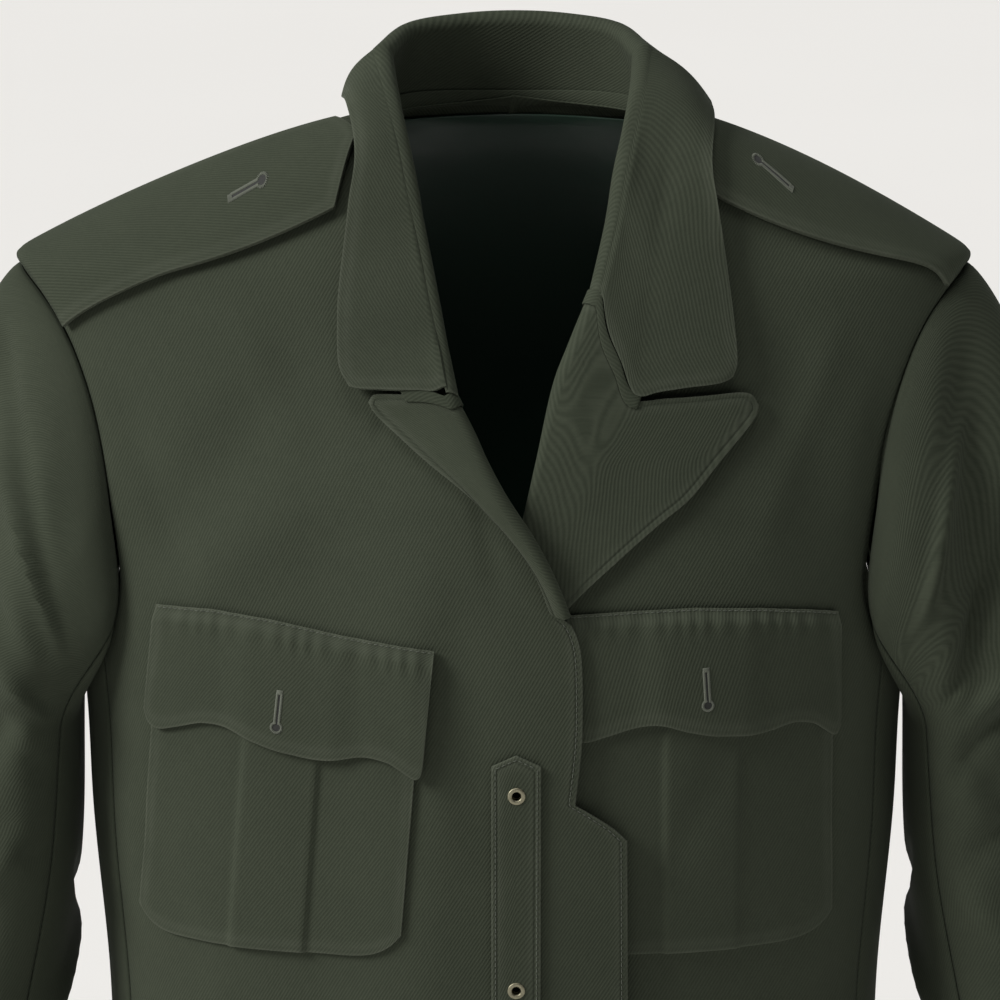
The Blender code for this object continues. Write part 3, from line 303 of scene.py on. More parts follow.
def front_lift(side, angle, z):
    """How far a front's outer face stands off the body's plain form."""
    x = body_base(angle, z)[..., 0]
    lift = folds(x, z, DRAPES[side] + FINE_DRAPES[side]) * ease(*FRONT_FOLDS_FADE, np.abs(angle))
    if side == RIGHT:
        lift = lift + LAP_LIFT * ease(LAP_START, LAP_END, x) * ease(LAP_TOP, LAP_FULL, z)
    return lift


def back_lift(angle, z):
    """How far the back's outer face stands off the body's plain form."""
    x = body_base(angle, z)[..., 0]
    return folds(x, z, BACK_DRAPES + FINE_BACK_DRAPES) * ease(*BACK_FOLDS_FADE, np.abs(angle))


def front_point(side, x, z, lift):
    """A point over one of the fronts, at a distance from its outer face."""
    angle = angle_at(x, z)
    height = front_lift(side, angle, z) + lift
    return body_base(angle, z) + body_normal(angle, z) * np.asarray(height)[..., None]


def off_body(angle, z, lift):
    """Points at a distance from the body's plain form."""
    return body_base(angle, z) + body_normal(angle, z) * np.asarray(lift)[..., None]


def spaced(points, count, place):
    """Table points evenly spaced, by real length, along a smooth curve through a table's rows."""
    points = np.array(points, float)
    knots = np.arange(len(points), dtype=float)
    fine = np.linspace(0, knots[-1], 60 * len(points))
    dense = hermite(fine, knots, points, np.gradient(points, knots, axis=0))
    steps = np.linalg.norm(np.diff(place(dense), axis=0), axis=1)
    run = np.concatenate([[0], np.cumsum(steps)])
    at = np.linspace(0, run[-1], count + 1)
    return np.column_stack([np.interp(at, run, dense[:, k]) for k in range(points.shape[1])])


def joined(*stretches):
    """One row of points from several stretches, each starting where the last one ends."""
    return np.concatenate([stretches[0]] + [stretch[1:] for stretch in stretches[1:]])


def on_body(points):
    return body_base(points[:, 0], points[:, 1])


def on_front(points):
    return body_base(angle_at(points[:, 0], points[:, 1]), points[:, 1])


def as_angles(points):
    """A front's x and z places as body angles and heights."""
    return np.column_stack([angle_at(points[:, 0], points[:, 1]), points[:, 1]])


def normals(points):
    """Unit normals of a grid of points."""
    down = np.gradient(points, axis=0)
    across = np.gradient(points, axis=1)
    out = np.cross(across, down)
    return out / np.linalg.norm(out, axis=-1, keepdims=True)


def unit(vector):
    return vector / np.linalg.norm(vector, axis=-1, keepdims=True)


# Places of the outputs that are used, on the Texture Coordinate and Attribute nodes
OBJECT_OUTPUT = 3
FACTOR_OUTPUT = 2


class Wire:
    """A shader socket that takes Python sums: each adds one Math node."""

    def __init__(self, tree, socket):
        self.tree = tree
        self.socket = socket

    def sum_of(self, operation, one, other):
        node = self.tree.nodes.new("ShaderNodeMath")
        node.operation = operation
        for place, value in zip(node.inputs, (one, other)):
            plug(self.tree, place, value)
        return Wire(self.tree, node.outputs[0])

    def __add__(self, other):
        return self.sum_of("ADD", self, other)

    def __radd__(self, other):
        return self.sum_of("ADD", other, self)

    def __sub__(self, other):
        return self.sum_of("SUBTRACT", self, other)

    def __rsub__(self, other):
        return self.sum_of("SUBTRACT", other, self)

    def __mul__(self, other):
        return self.sum_of("MULTIPLY", self, other)

    def __rmul__(self, other):
        return self.sum_of("MULTIPLY", other, self)

    def __truediv__(self, other):
        return self.sum_of("DIVIDE", self, other)

    def maths(self, operation, other=0.0):
        return self.sum_of(operation, self, other)

    def bell(self, middle, width):
        """1 at the middle value, falling softly to 0 at either side."""
        away = (self - middle) / width
        return (away * away * -1.0).maths("EXPONENT")


def plug(tree, place, value):
    """Links a wire or a socket into an input, or sets the input's own value."""
    if isinstance(value, Wire):
        tree.links.new(value.socket, place)
    elif isinstance(value, bpy.types.NodeSocket):
        tree.links.new(value, place)
    else:
        place.default_value = value


def node(tree, kind, settings=(), inputs=(), output=0):
    """A node by its type, its settings and its inputs, as a wire from one of its outputs."""
    made = tree.nodes.new("ShaderNode" + kind)
    for name, value in dict(settings).items():
        setattr(made, name, value)
    for name, value in dict(inputs).items():
        plug(tree, made.inputs[name], value)
    return Wire(tree, made.outputs[output])


def noise(tree, vector, scale, detail=3.0, roughness=0.55):
    inputs = {"Vector": vector, "Scale": scale, "Detail": detail, "Roughness": roughness}
    return node(tree, "TexNoise", {}, inputs)


def colour_mix(tree, factor, one, other):
    made = tree.nodes.new("ShaderNodeMix")
    made.data_type = "RGBA"
    plug(tree, made.inputs[0], factor)
    plug(tree, made.inputs[6], (*one, 1.0) if isinstance(one, tuple) else one)
    plug(tree, made.inputs[7], (*other, 1.0) if isinstance(other, tuple) else other)
    return Wire(tree, made.outputs[2])


def stretched_noise(tree, place, scale):
    """Noise drawn out along one axis, as yarns, floats and scratches are."""
    drawn_out = node(tree, "Mapping", {}, {"Vector": place, "Scale": scale})
    return noise(tree, drawn_out, 1.0, 2.0)


def object_place(tree):
    return node(tree, "TexCoord", {}, {}, OBJECT_OUTPUT)


def kept_distance(tree, name):
    """A distance that the cloth keeps at each of its points."""
    return node(tree, "Attribute", {"attribute_name": name}, {}, FACTOR_OUTPUT)


def finish(tree, shader, looks, height=None, strength=1.0):
    """Sets the shader's inputs, and its relief from a height in metres."""
    for name, value in looks.items():
        plug(tree, shader.inputs[name], value)
    if height is not None:
        relief = {"Height": height, "Strength": strength, "Distance": 1.0}
        plug(tree, shader.inputs["Normal"], node(tree, "Bump", {}, relief))


def blank(name):
    """A new material with its shader and its tree."""
    made = bpy.data.materials.new(name)
    made.use_nodes = True
    return made, made.node_tree, made.node_tree.nodes["Principled BSDF"]


# Twill: the ribs climb to the right at this slope in degrees, with this pitch
TWILL_SLOPE = 61.0
TWILL_PITCH = 0.00150
WEFT_PITCH = 0.00062
TWILL_DARK = (0.0225, 0.0287, 0.0180)
TWILL_LIGHT = (0.0545, 0.0640, 0.0430)
TWILL_WORN = (0.0820, 0.0920, 0.0680)
STITCH_INSET = 0.0030
# How the yarns' noise is drawn out, across and along the cloth
YARN_SCALE = (1500.0, 140.0, 1.0)
CROSS_YARN_SCALE = (120.0, 1300.0, 1.0)
# Widths of the valleys at stitches and seams, where the cloth is darkened with painted shade, and of the
# wear at and inside a piece's rim
STITCH_VALLEY = 0.0007
SEAM_VALLEY = 0.0011
RIM_WEAR = 0.0011
RUB_INSET = 0.0042
RUB_WIDTH = 0.0026


def twill():
    """Green wool twill: diagonal ribs, mixed yarns, soft nap, wear at edges, seam and stitch valleys
    with painted shade.
    """
    made, tree, shader = blank("green wool twill")
    uv = node(tree, "UVMap", {"uv_map": "weave"})
    axes = tree.nodes.new("ShaderNodeSeparateXYZ")
    plug(tree, axes.inputs[0], uv)
    u = Wire(tree, axes.outputs[0])
    v = Wire(tree, axes.outputs[1])
    across = float(np.sin(np.radians(TWILL_SLOPE)))
    along = float(np.cos(np.radians(TWILL_SLOPE)))
    turn = 2 * np.pi / TWILL_PITCH
    uneven = noise(tree, uv, 240.0, 2.0)
    diagonal = u * (across * turn) - v * (along * turn) + uneven * 1.6
    rib = diagonal.maths("SINE") * 0.5 + 0.5
    weft = (v * (2 * np.pi / WEFT_PITCH)).maths("SINE") * 0.5 + 0.5
    yarn = stretched_noise(tree, uv, YARN_SCALE)
    cross_yarn = stretched_noise(tree, uv, CROSS_YARN_SCALE)
    place = object_place(tree)
    cloud = noise(tree, place, 7.0, 4.0, 0.6)
    blotch = noise(tree, place, 38.0, 3.0, 0.6)
    stitch_groove_and_shade = kept_distance(tree, "edge").bell(STITCH_INSET, STITCH_VALLEY)
    seam_groove_and_shade = kept_distance(tree, "seam").bell(0.0, SEAM_VALLEY)
    from_rim = kept_distance(tree, "rim")
    rim = from_rim.bell(0.0, RIM_WEAR)
    rubbed = from_rim.bell(RUB_INSET, RUB_WIDTH)
    tone = rib * 0.34 + weft * 0.06 + yarn * 0.42 + cross_yarn * 0.26
    tone = tone + (cloud - 0.5) * 0.42 + (blotch - 0.5) * 0.22 - 0.06
    # Painted shade: the cloth is darker along the stitch and seam grooves, which also sink in the relief
    # below
    tone = tone - stitch_groove_and_shade * 0.16 - seam_groove_and_shade * 0.30
    tone = tone.maths("MAXIMUM", 0.0).maths("MINIMUM", 1.0)
    colour = colour_mix(tree, tone, TWILL_DARK, TWILL_LIGHT)
    worn = (rim * blotch * 0.95 + rubbed * blotch * 0.30).maths("MINIMUM", 1.0)
    colour = colour_mix(tree, worn, colour, TWILL_WORN)
    height = rib * 0.00011 + yarn * 0.00006 + cross_yarn * 0.00004 + cloud * 0.0006
    height = height - stitch_groove_and_shade * 0.00040 - seam_groove_and_shade * 0.00060 + rim * 0.00008
    finish(tree, shader, {
        "Base Color": colour,
        "Roughness": 0.90 - rib * 0.06 - worn * 0.15 + blotch * 0.06,
        "Sheen Weight": 0.045,
        "Sheen Roughness": 0.45,
        "Sheen Tint": (0.62, 0.70, 0.56, 1.0),
        "Specular IOR Level": 0.20,
    }, height, 0.85)
    return made


def satin():
    """Dark green satin: smooth, with long fine floats and a soft gloss."""
    made, tree, shader = blank("dark green satin")
    uv = node(tree, "UVMap", {"uv_map": "weave"})
    float_thread = stretched_noise(tree, uv, (2400.0, 90.0, 1.0))
    cloud = noise(tree, object_place(tree), 22.0, 3.0)
    tone = float_thread * 0.5 + cloud * 0.5
    colour = colour_mix(tree, tone, (0.0040, 0.0170, 0.0095), (0.0140, 0.0520, 0.0300))
    roughness = 0.30 + float_thread * 0.16
    height = float_thread * 0.00003 + cloud * 0.0008
    looks = {"Base Color": colour, "Roughness": roughness, "Sheen Weight": 0.1}
    finish(tree, shader, looks, height, 0.8)
    return made


def aged_brass():
    """Dulled brass: brown tarnish in patches, and fine scratches."""
    made, tree, shader = blank("aged brass")
    place = object_place(tree)
    patch = noise(tree, place, 420.0, 4.0, 0.6)
    scratch = stretched_noise(tree, place, (900.0, 900.0, 9000.0))
    colour = colour_mix(tree, patch, (0.115, 0.105, 0.070), (0.40, 0.38, 0.27))
    roughness = 0.30 + patch * 0.22 + scratch * 0.08
    looks = {"Base Color": colour, "Roughness": roughness, "Metallic": 0.88}
    finish(tree, shader, looks, patch * 0.00008 + scratch * 0.00003)
    return made


def thread(name, dark, light):
    """Twisted sewing thread."""
    made, tree, shader = blank(name)
    place = object_place(tree)
    twist = noise(tree, place, 2600.0, 2.0)
    shade = noise(tree, place, 90.0, 2.0)
    colour = colour_mix(tree, twist * 0.7 + shade * 0.3, dark, light)
    looks = {"Base Color": colour, "Roughness": 0.62 + twist * 0.2, "Sheen Weight": 0.2}
    finish(tree, shader, looks, twist * 0.00012)
    return made


def floor_paint():
    made, tree, shader = blank("pale studio floor")
    cloud = noise(tree, object_place(tree), 0.6, 2.0)
    colour = colour_mix(tree, cloud, (0.890, 0.880, 0.862), (0.915, 0.905, 0.888))
    finish(tree, shader, {"Base Color": colour, "Roughness": 0.9})
    return made


TWILL = twill()
SATIN = satin()
BRASS = aged_brass()
SEAM_THREAD = thread("green sewing thread", (0.030, 0.036, 0.025), (0.085, 0.098, 0.070))
HOLE_THREAD = thread("grey green buttonhole thread", (0.052, 0.060, 0.044), (0.150, 0.165, 0.125))
# Near-black painted shade for the buttonholes' slots and eyes, made with the thread look
SHADOW_CLOTH = thread("painted shade inside a buttonhole", (0.003, 0.004, 0.003), (0.007, 0.009, 0.006))

# How deep and how far in from a seam the cloth sinks, and how its rim is rounded
SEAM_SINK = 0.0004
SEAM_REACH = 0.0030
RIM_BEVEL = 0.00040
RIM_STEPS = 2
RIM_TURN = 0.9
# A distance that stands for none
FAR = 1.0
# Below this share of its thickest place, a cloth's thickness is set point by point
EVEN_SHARE = 0.9
# Seam allowances: reach inside and past the seam, gap behind the cloth, thickness
ALLOWANCE_IN = 0.0040
ALLOWANCE_OUT = 0.0034
ALLOWANCE_GAP = 0.0002
ALLOWANCE_CLOTH = 0.0008
# Each cloth piece by its node's name: the object, its grid and the grid's normals
made_pieces = {}


def to_metres(steps):
    """Running length along the first axis of a grid of steps."""
    return np.concatenate([np.zeros((1, *steps.shape[1:2])), np.cumsum(steps, axis=0)])


def grid_lengths(face):
    """Running length down each column, and along each row."""
    down = to_metres(np.linalg.norm(np.diff(face, axis=0), axis=2))
    along = to_metres(np.linalg.norm(np.diff(face, axis=1), axis=2).T).T
    return down, along


def from_side(face, side):
    """Each point's distance from one side of its grid, which may be only a stretch of rows."""
    name, first, last = side if isinstance(side, tuple) else (side, 0, None)
    down, along = grid_lengths(face)
    away = {
        "top": down,
        "bottom": down[-1:] - down,
        "first": along,
        "last": along[:, -1:] - along,
    }[name].copy()
    kept = np.zeros(away.shape, bool)
    if name in ("first", "last"):
        kept[first:last] = True
    else:
        kept[:, first:last] = True
    away[~kept] = FAR
    return away


def nearest(face, sides):
    """Distance from the nearest of several sides."""
    away = np.full(face.shape[:2], FAR)
    for side in sides:
        away = np.minimum(away, from_side(face, side))
    return away


def outward(face, back):
    """Unit normals of a grid, on the face's side of the cloth."""
    out = normals(face)
    facing = np.sign(((face - back) * out).sum(axis=2).mean())
    return out * facing


def weave_map(face, out, grain):
    """Places on the flat cloth, in metres, for twill that climbs to the right seen from outside."""
    if grain is None:
        down, along = grid_lengths(face)
        step_across = np.gradient(face, axis=1)
        step_up = -np.gradient(face, axis=0)
        hand = np.sign((np.cross(step_across, step_up) * out).sum(axis=2).mean())
        return np.stack([along * hand, -down], axis=2)
    up = unit(grain - (out * grain).sum(axis=2, keepdims=True) * out)
    across = np.cross(up, out)
    u = np.zeros(face.shape[:2])
    v = np.zeros(face.shape[:2])
    mid_up = (up[1:, 0] + up[:-1, 0]) / 2
    mid_across = (across[1:, 0] + across[:-1, 0]) / 2
    step = np.diff(face[:, 0], axis=0)
    u[1:, 0] = np.cumsum((step * mid_across).sum(axis=1))
    v[1:, 0] = np.cumsum((step * mid_up).sum(axis=1))
    step = np.diff(face, axis=1)
    mid_up = (up[:, 1:] + up[:, :-1]) / 2
    mid_across = (across[:, 1:] + across[:, :-1]) / 2
    u[:, 1:] = u[:, :1] + np.cumsum((step * mid_across).sum(axis=2), axis=1)
    v[:, 1:] = v[:, :1] + np.cumsum((step * mid_up).sum(axis=2), axis=1)
    return np.stack([u, v], axis=2)


def only(piece):
    """Makes one object the selected and active one."""
    bpy.ops.object.select_all(action="DESELECT")
    piece.select_set(True)
    bpy.context.view_layer.objects.active = piece


def as_one(parts):
    """Joins several objects into the first of them."""
    bpy.ops.object.select_all(action="DESELECT")
    for part in parts:
        part.select_set(True)
    bpy.context.view_layer.objects.active = parts[0]
    bpy.ops.object.join()
    return parts[0]


def settled(piece):
    """Keeps a piece's place, turn and scale in its mesh."""
    only(piece)
    bpy.ops.object.transform_apply(location=True, rotation=True, scale=True)


def from_faces(name, points, faces, look):
    """A piece made of the given points and faces."""
    mesh = bpy.data.meshes.new(name)
    mesh.from_pydata(points.tolist(), [], faces)
    mesh.materials.append(look)
    made = bpy.data.objects.new(name, mesh)
    bpy.context.scene.collection.objects.link(made)
    return made


def applied(piece, kind, **settings):
    """Adds a modifier to a piece and applies it."""
    only(piece)
    made = piece.modifiers.new(kind.lower(), kind)
    for name, value in settings.items():
        setattr(made, name, value)
    bpy.ops.object.modifier_apply(modifier=made.name)


def laid_grid(name, face, out, thick, weave, edge, seam, rim):
    """A grid primitive laid on its face, with its weave map and distances, then given thickness."""
    rows, columns = face.shape[0] - 1, face.shape[1] - 1
    bpy.ops.object.select_all(action="DESELECT")
    bpy.ops.mesh.primitive_grid_add(x_subdivisions=columns, y_subdivisions=rows, size=1)
    piece = bpy.context.object
    piece.name = name
    mesh = piece.data
    mesh.name = name
    flat = np.empty(len(mesh.vertices) * 3, np.float32)
    mesh.vertices.foreach_get("co", flat)
    flat = flat.reshape(-1, 3)
    row = np.rint((flat[:, 1] + 0.5) * rows).astype(int)
    column = np.rint((flat[:, 0] + 0.5) * columns).astype(int)
    mesh.vertices.foreach_set("co", face[row, column].astype(np.float32).ravel())
    corner = np.empty(len(mesh.loops), np.int32)
    mesh.loops.foreach_get("vertex_index", corner)
    for layer in list(mesh.uv_layers):
        mesh.uv_layers.remove(layer)
    layer = mesh.uv_layers.new(name="weave")
    layer.data.foreach_set("uv", weave[row[corner], column[corner]].astype(np.float32).ravel())
    for title, values in (("edge", edge), ("seam", seam), ("rim", rim)):
        kept = mesh.attributes.new(title, "FLOAT", "POINT")
        kept.data.foreach_set("value", values[row, column].astype(np.float32))
    grid_up = np.cross(np.gradient(face, axis=1), np.gradient(face, axis=0))
    if (grid_up * out).sum() < 0:
        mesh.flip_normals()
    mesh.update()
    most = float(thick.max())
    settings = {"thickness": most, "offset": -1.0, "use_even_offset": False}
    if thick.min() < EVEN_SHARE * most:
        group = piece.vertex_groups.new(name="thickness")
        for index, share in enumerate((thick / most)[row, column]):
            group.add([index], float(share), "REPLACE")
        settings["vertex_group"] = group.name
    applied(piece, "SOLIDIFY", **settings)
    applied(piece, "BEVEL", width=RIM_BEVEL, segments=RIM_STEPS, limit_method="ANGLE",
            angle_limit=RIM_TURN)
    piece.vertex_groups.clear()
    return piece


def allowance(name, face, out, side, thick):
    """The seam allowance behind a sewn side, reaching a little past the seam."""
    line, up = stitch_path(face, out, side, 0.0)
    inner, _ = stitch_path(face, out, side, ALLOWANCE_IN)
    past = line + unit(line - inner) * ALLOWANCE_OUT
    strip = np.stack([inner, line, past], axis=1) - (up * (thick + ALLOWANCE_GAP))[:, None, :]
    ups = np.repeat(up[:, None, :], 3, axis=1)
    far = np.full(strip.shape[:2], FAR)
    cloth = np.full(strip.shape[:2], ALLOWANCE_CLOTH)
    return laid_grid(name, strip, ups, cloth, weave_map(strip, ups, None), far, far, far)


def shell(name, face, back, look, stitched=(), sewn=(), grain=None, allowances=(), rims=()):
    """A thin cloth shell over a solid's form, with the seam allowances behind its sewn sides.

    A side is "top", "bottom", "first" or "last" of the grid, or one of these with the first and
    last row of a stretch. stitched, sewn and rims are sides that the cloth keeps distances from.
    """
    out = outward(face, back)
    thick = np.linalg.norm(face - back, axis=2)
    edge = nearest(face, stitched)
    rim = nearest(face, rims or stitched)
    seam = nearest(face, sewn)
    weave = weave_map(face, out, grain)
    face = face - out * (SEAM_SINK * np.exp(-((seam / SEAM_REACH) ** 2)))[..., None]
    piece = laid_grid("cloth_" + name, face, out, thick, weave, edge, seam, rim)
    if allowances:
        middle_cloth = float(thick.mean())
        as_one([piece, *(allowance("allowance", face, out, side, middle_cloth) for side in allowances)])
    piece.data.materials.clear()
    piece.data.materials.append(look)
    piece.data.shade_smooth()
    made_pieces[name] = (piece, face, out)
    return piece


# One stitch is a short thread that dips into the cloth at both ends. Each ring of it: place
# along the stitch, share of the radius, height over the cloth in radii
STITCH_LENGTH = 0.0022
STITCH_STEP = 0.0029
STITCH_RADIUS = 0.00022
STITCH_SIDES = 5
STITCH_RINGS = (
    (-0.5, 0.35, -0.6), (-0.36, 0.95, 0.4), (0.0, 1.0, 0.75), (0.36, 0.95, 0.4), (0.5, 0.35, -0.6),
)


def threads(name, starts, ends, outs, radius, look):
    """Many short threads as one mesh, each from a start to an end on the cloth."""
    rings = np.array(STITCH_RINGS)
    along = ends - starts
    aside = unit(np.cross(along, outs))
    turn = 2 * np.pi * np.arange(STITCH_SIDES) / STITCH_SIDES
    centre = (starts + ends)[:, None, :] / 2 + along[:, None, :] * rings[None, :, :1]
    centre = centre + outs[:, None, :] * (rings[None, :, 2:3] * radius)
    round_thread = aside[:, None, None, :] * np.cos(turn)[None, None, :, None]
    round_thread = round_thread + outs[:, None, None, :] * np.sin(turn)[None, None, :, None]
    points = centre[:, :, None, :] + round_thread * (rings[None, :, 1] * radius)[:, :, None, None]
    count, ring_count = len(starts), len(rings)
    points = points.reshape(-1, 3)
    one = np.arange(ring_count * STITCH_SIDES).reshape(ring_count, STITCH_SIDES)
    after = np.roll(one, -1, axis=1)
    quads = np.stack([one[:-1], one[1:], after[1:], after[:-1]], axis=2).reshape(-1, 4)
    base = np.arange(count)[:, None, None] * ring_count * STITCH_SIDES
    quads = (quads[None] + base).reshape(-1, 4)
    caps = np.stack([one[0], one[-1][::-1]])
    caps = (caps[None] + base).reshape(-1, STITCH_SIDES)
    made = from_faces(name, points, quads.tolist() + caps.tolist(), look)
    made.data.validate()
    only(made)
    bpy.ops.object.mode_set(mode="EDIT")
    bpy.ops.mesh.select_all(action="SELECT")
    bpy.ops.mesh.normals_make_consistent(inside=False)
    bpy.ops.object.mode_set(mode="OBJECT")
    made.data.shade_smooth()
    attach(made, "root")


def stitch_path(face, out, side, inset):
    """The line of a row of stitches, at a distance inside one side of a piece."""
    name, first, last = side if isinstance(side, tuple) else (side, 0, None)
    if name in ("top", "bottom"):
        points, faces = face.transpose(1, 0, 2), out.transpose(1, 0, 2)
        if name == "bottom":
            points, faces = points[:, ::-1], faces[:, ::-1]
    else:
        points, faces = face, out
        if name == "last":
            points, faces = points[:, ::-1], faces[:, ::-1]
    points, faces = points[first:last], faces[first:last]
    steps = np.linalg.norm(np.diff(points, axis=1), axis=2)
    run = np.concatenate([np.zeros((len(points), 1)), np.cumsum(steps, axis=1)], axis=1)
    line = np.empty((len(points), 3))
    up = np.empty((len(points), 3))
    for row in range(len(points)):
        for axis in range(3):
            line[row, axis] = np.interp(inset, run[row], points[row, :, axis])
            up[row, axis] = np.interp(inset, run[row], faces[row, :, axis])
    return line, unit(up)


def sew(title, rows):
    """Rows of stitching as one piece. Each row is a cloth piece's name, its side and the inset."""
    starts, ends, outs = [], [], []
    for name, side, inset in rows:
        _, face, out = made_pieces[name]
        line, up = stitch_path(face, out, side, inset)
        run = np.concatenate([[0], np.cumsum(np.linalg.norm(np.diff(line, axis=0), axis=1))])
        centres = np.arange(inset + STITCH_STEP / 2, run[-1] - inset, STITCH_STEP)
        for shift, kept in ((-STITCH_LENGTH / 2, starts), (STITCH_LENGTH / 2, ends)):
            kept.append(np.column_stack([np.interp(centres + shift, run, line[:, k]) for k in range(3)]))
        outs.append(unit(np.column_stack([np.interp(centres, run, up[:, k]) for k in range(3)])))
    threads(title, *map(np.concatenate, (starts, ends, outs)), STITCH_RADIUS, SEAM_THREAD)


def finer(points, count):
    """A table's rows joined by a smooth curve, as more rows evenly spaced between the old ones."""
    points = np.array(points, float)
    knots = np.arange(len(points), dtype=float)
    return hermite(np.linspace(0, knots[-1], count + 1), knots, points,
                   np.gradient(points, knots, axis=0))


def split(values, parts):
    """A row of places with each stretch split evenly."""
    values = np.array(values, float)
    at = np.linspace(0, len(values) - 1, (len(values) - 1) * parts + 1)
    return np.interp(at, np.arange(len(values)), values)


# Outlines, as tables of angle and height or of x and z on the front
NECKLINE = {
    RIGHT: ((-90.0, 0.0), (-50.0, -0.004), (-28.5, -0.018), (-14.6, -0.045), (-7.6, -0.082)),
    LEFT: ((90.0, 0.0), (50.0, -0.004), (30.0, -0.018), (19.5, -0.045)),
}
# The visible edge of the lapel's roll, from the gorge down to the break
ROLL_LINE = {
    RIGHT: ((-0.018, -0.124), (-0.010, -0.139), (-0.004, -0.152), (0.005, -0.168),
            (0.018, -0.187), (0.027, -0.204), (0.034, -0.221)),
    LEFT: ((0.0455, -0.079), (0.036, -0.101), (0.029, -0.119),
           (0.021, -0.154), (0.012, -0.190), (-0.006, -0.251)),
}
FRONT_EDGE = {
    RIGHT: ((0.034, -0.221), (0.039, -0.231), (0.041, -0.245), (0.041, -0.278), (0.038, -0.309)),
    LEFT: ((-0.006, -0.251), (-0.008, -0.265), (-0.010, -0.285), (-0.012, -0.309)),
}
# The right front steps out where its lower edge begins
EDGE_STEP = {
    RIGHT: ((0.038, -0.309), (0.046, -0.314), (0.056, -0.321), (0.062, -0.327)),
    LEFT: ((-0.012, -0.309), (-0.013, -0.318), (-0.014, -0.327)),
}
LOWER_EDGE = {
    RIGHT: ((0.062, -0.327), (0.063, -0.430), (0.064, -0.600), (0.060, HEM_Z)),
    LEFT: ((-0.014, -0.327), (-0.024, -0.430), (-0.036, -0.600), (-0.046, HEM_Z)),
}
EDGE_HEIGHTS = (-0.309, -0.327)
ROLL_RADIUS = {RIGHT: 0.0038, LEFT: 0.0040}
BREAK_RADIUS = 0.0018
LAPEL_EDGE_LIFT = 0.0026
# Where, along the roll line, it flattens
ROLL_FLATTENS = {RIGHT: (0.4, 1.0), LEFT: (0.15, 0.55)}

NECK_ROWS = 7 * FINE
ROLL_ROWS = 5 * FINE
EDGE_ROWS = 3 * FINE
STEP_ROWS = 1 * FINE
LOWER_ROWS = 8 * FINE
FRONT_COLUMNS = 14 * FINE
SIDE_COLUMNS = 4 * FINE
BACK_COLUMNS = 8 * FINE
# The sides of a piece that is sewn on three sides and free at its hem
SEWN_ROUND = ("top", "first", "last")


def armhole(turn):
    """Body angle (on the left) and height of a point of the armhole. Turn 0 is its top."""
    z = ARMHOLE_Z + ARMHOLE_RISE * np.cos(np.radians(turn))
    forward = turn < 180
    full = ARMHOLE_FRONT_TURN
    swung = np.where(turn < full, turn * 90 / full, 90 + (turn - full) * 90 / (180 - full))
    swung = np.radians(np.where(forward, swung, turn))
    reach = np.where(forward, ARMHOLE_FRONT, ARMHOLE_BACK) * np.abs(np.sin(swung))
    depth = np.where(forward, down_table(z, BODY, 2), down_table(z, BODY, 3))
    cosine = (reach / depth) ** (down_table(z, SQUARENESS, 1) / 2)
    angle = np.degrees(np.arccos(np.clip(cosine, 0, 1)))
    return np.column_stack([np.where(forward, angle, 180 - angle), z])


def side_seam(turn, hem_angle, heights):
    """A side seam from the armhole down, at the given heights."""
    top = armhole(np.array([turn]))[0]
    part = (top[1] - heights) / (top[1] - HEM_Z)
    return np.column_stack([top[0] + (hem_angle - top[0]) * part, heights])


def side_heights(top, rows_above, rows_step, rows_low):
    """Heights down a side seam that match the rows of the front edge."""
    upper = np.linspace(top, EDGE_HEIGHTS[0], rows_above + 1)
    step = np.linspace(EDGE_HEIGHTS[0], EDGE_HEIGHTS[1], rows_step + 1)[1:]
    lower = np.linspace(EDGE_HEIGHTS[1], HEM_Z, rows_low + 1)[1:]
    return np.concatenate([upper, step, lower])


def roll_base(side, radius):
    """Where a front's cloth turns over into its lapel, from the gorge to the break."""
    line = spaced(ROLL_LINE[side], ROLL_ROWS, on_front)
    along = np.gradient(line, axis=0)
    along /= np.linalg.norm(along, axis=1, keepdims=True)
    inward = np.column_stack([along[:, 1], -along[:, 0]]) * -side
    return line + inward * radius[:, None], line, inward


def between(inner, outer, columns):
    """A grid of rows running evenly from the inner points to the outer ones."""
    part = np.linspace(0, 1, columns + 1)[None, :, None]
    return inner[:, None, :] * (1 - part) + outer[:, None, :] * part


def roll_radii(side):
    """The roll flattens towards the break."""
    line = spaced(ROLL_LINE[side], ROLL_ROWS, on_front)
    part = ease(*ROLL_FLATTENS[side], np.linspace(0, 1, len(line)))
    return ROLL_RADIUS[side] + (BREAK_RADIUS - ROLL_RADIUS[side]) * part


def front_inner(side):
    """The front's inner boundary as body angles and heights: neck, roll line, then edge."""
    base, _, _ = roll_base(side, roll_radii(side))
    roll = as_angles(base)
    neck = spaced((*NECKLINE[side], tuple(roll[0])), NECK_ROWS, on_body)
    edge = as_angles(spaced(FRONT_EDGE[side], EDGE_ROWS, on_front))
    edge[0] = roll[-1]
    step = as_angles(spaced(EDGE_STEP[side], STEP_ROWS, on_front))
    low = as_angles(spaced(LOWER_EDGE[side], LOWER_ROWS, on_front))
    return joined(neck, roll, edge, step, low)


def front_outer(side):
    """The front's outer boundary: armhole, then the seam with the side panel."""
    turns = np.linspace(0, FRONT_SEAM_TURN, NECK_ROWS + ROLL_ROWS + 1)
    hole = armhole(turns)
    heights = side_heights(hole[-1, 1], EDGE_ROWS, STEP_ROWS, LOWER_ROWS)
    outer = joined(hole, side_seam(FRONT_SEAM_TURN, FRONT_SEAM_HEM, heights))
    outer[:, 0] -= SEAM_ANGLE
    return outer * (side, 1)


def front_grid(side):
    grid = between(front_inner(side), front_outer(side), FRONT_COLUMNS)
    grid[0, :, 0] = side * (90 - SHOULDER_SEAM_ANGLE)
    return grid


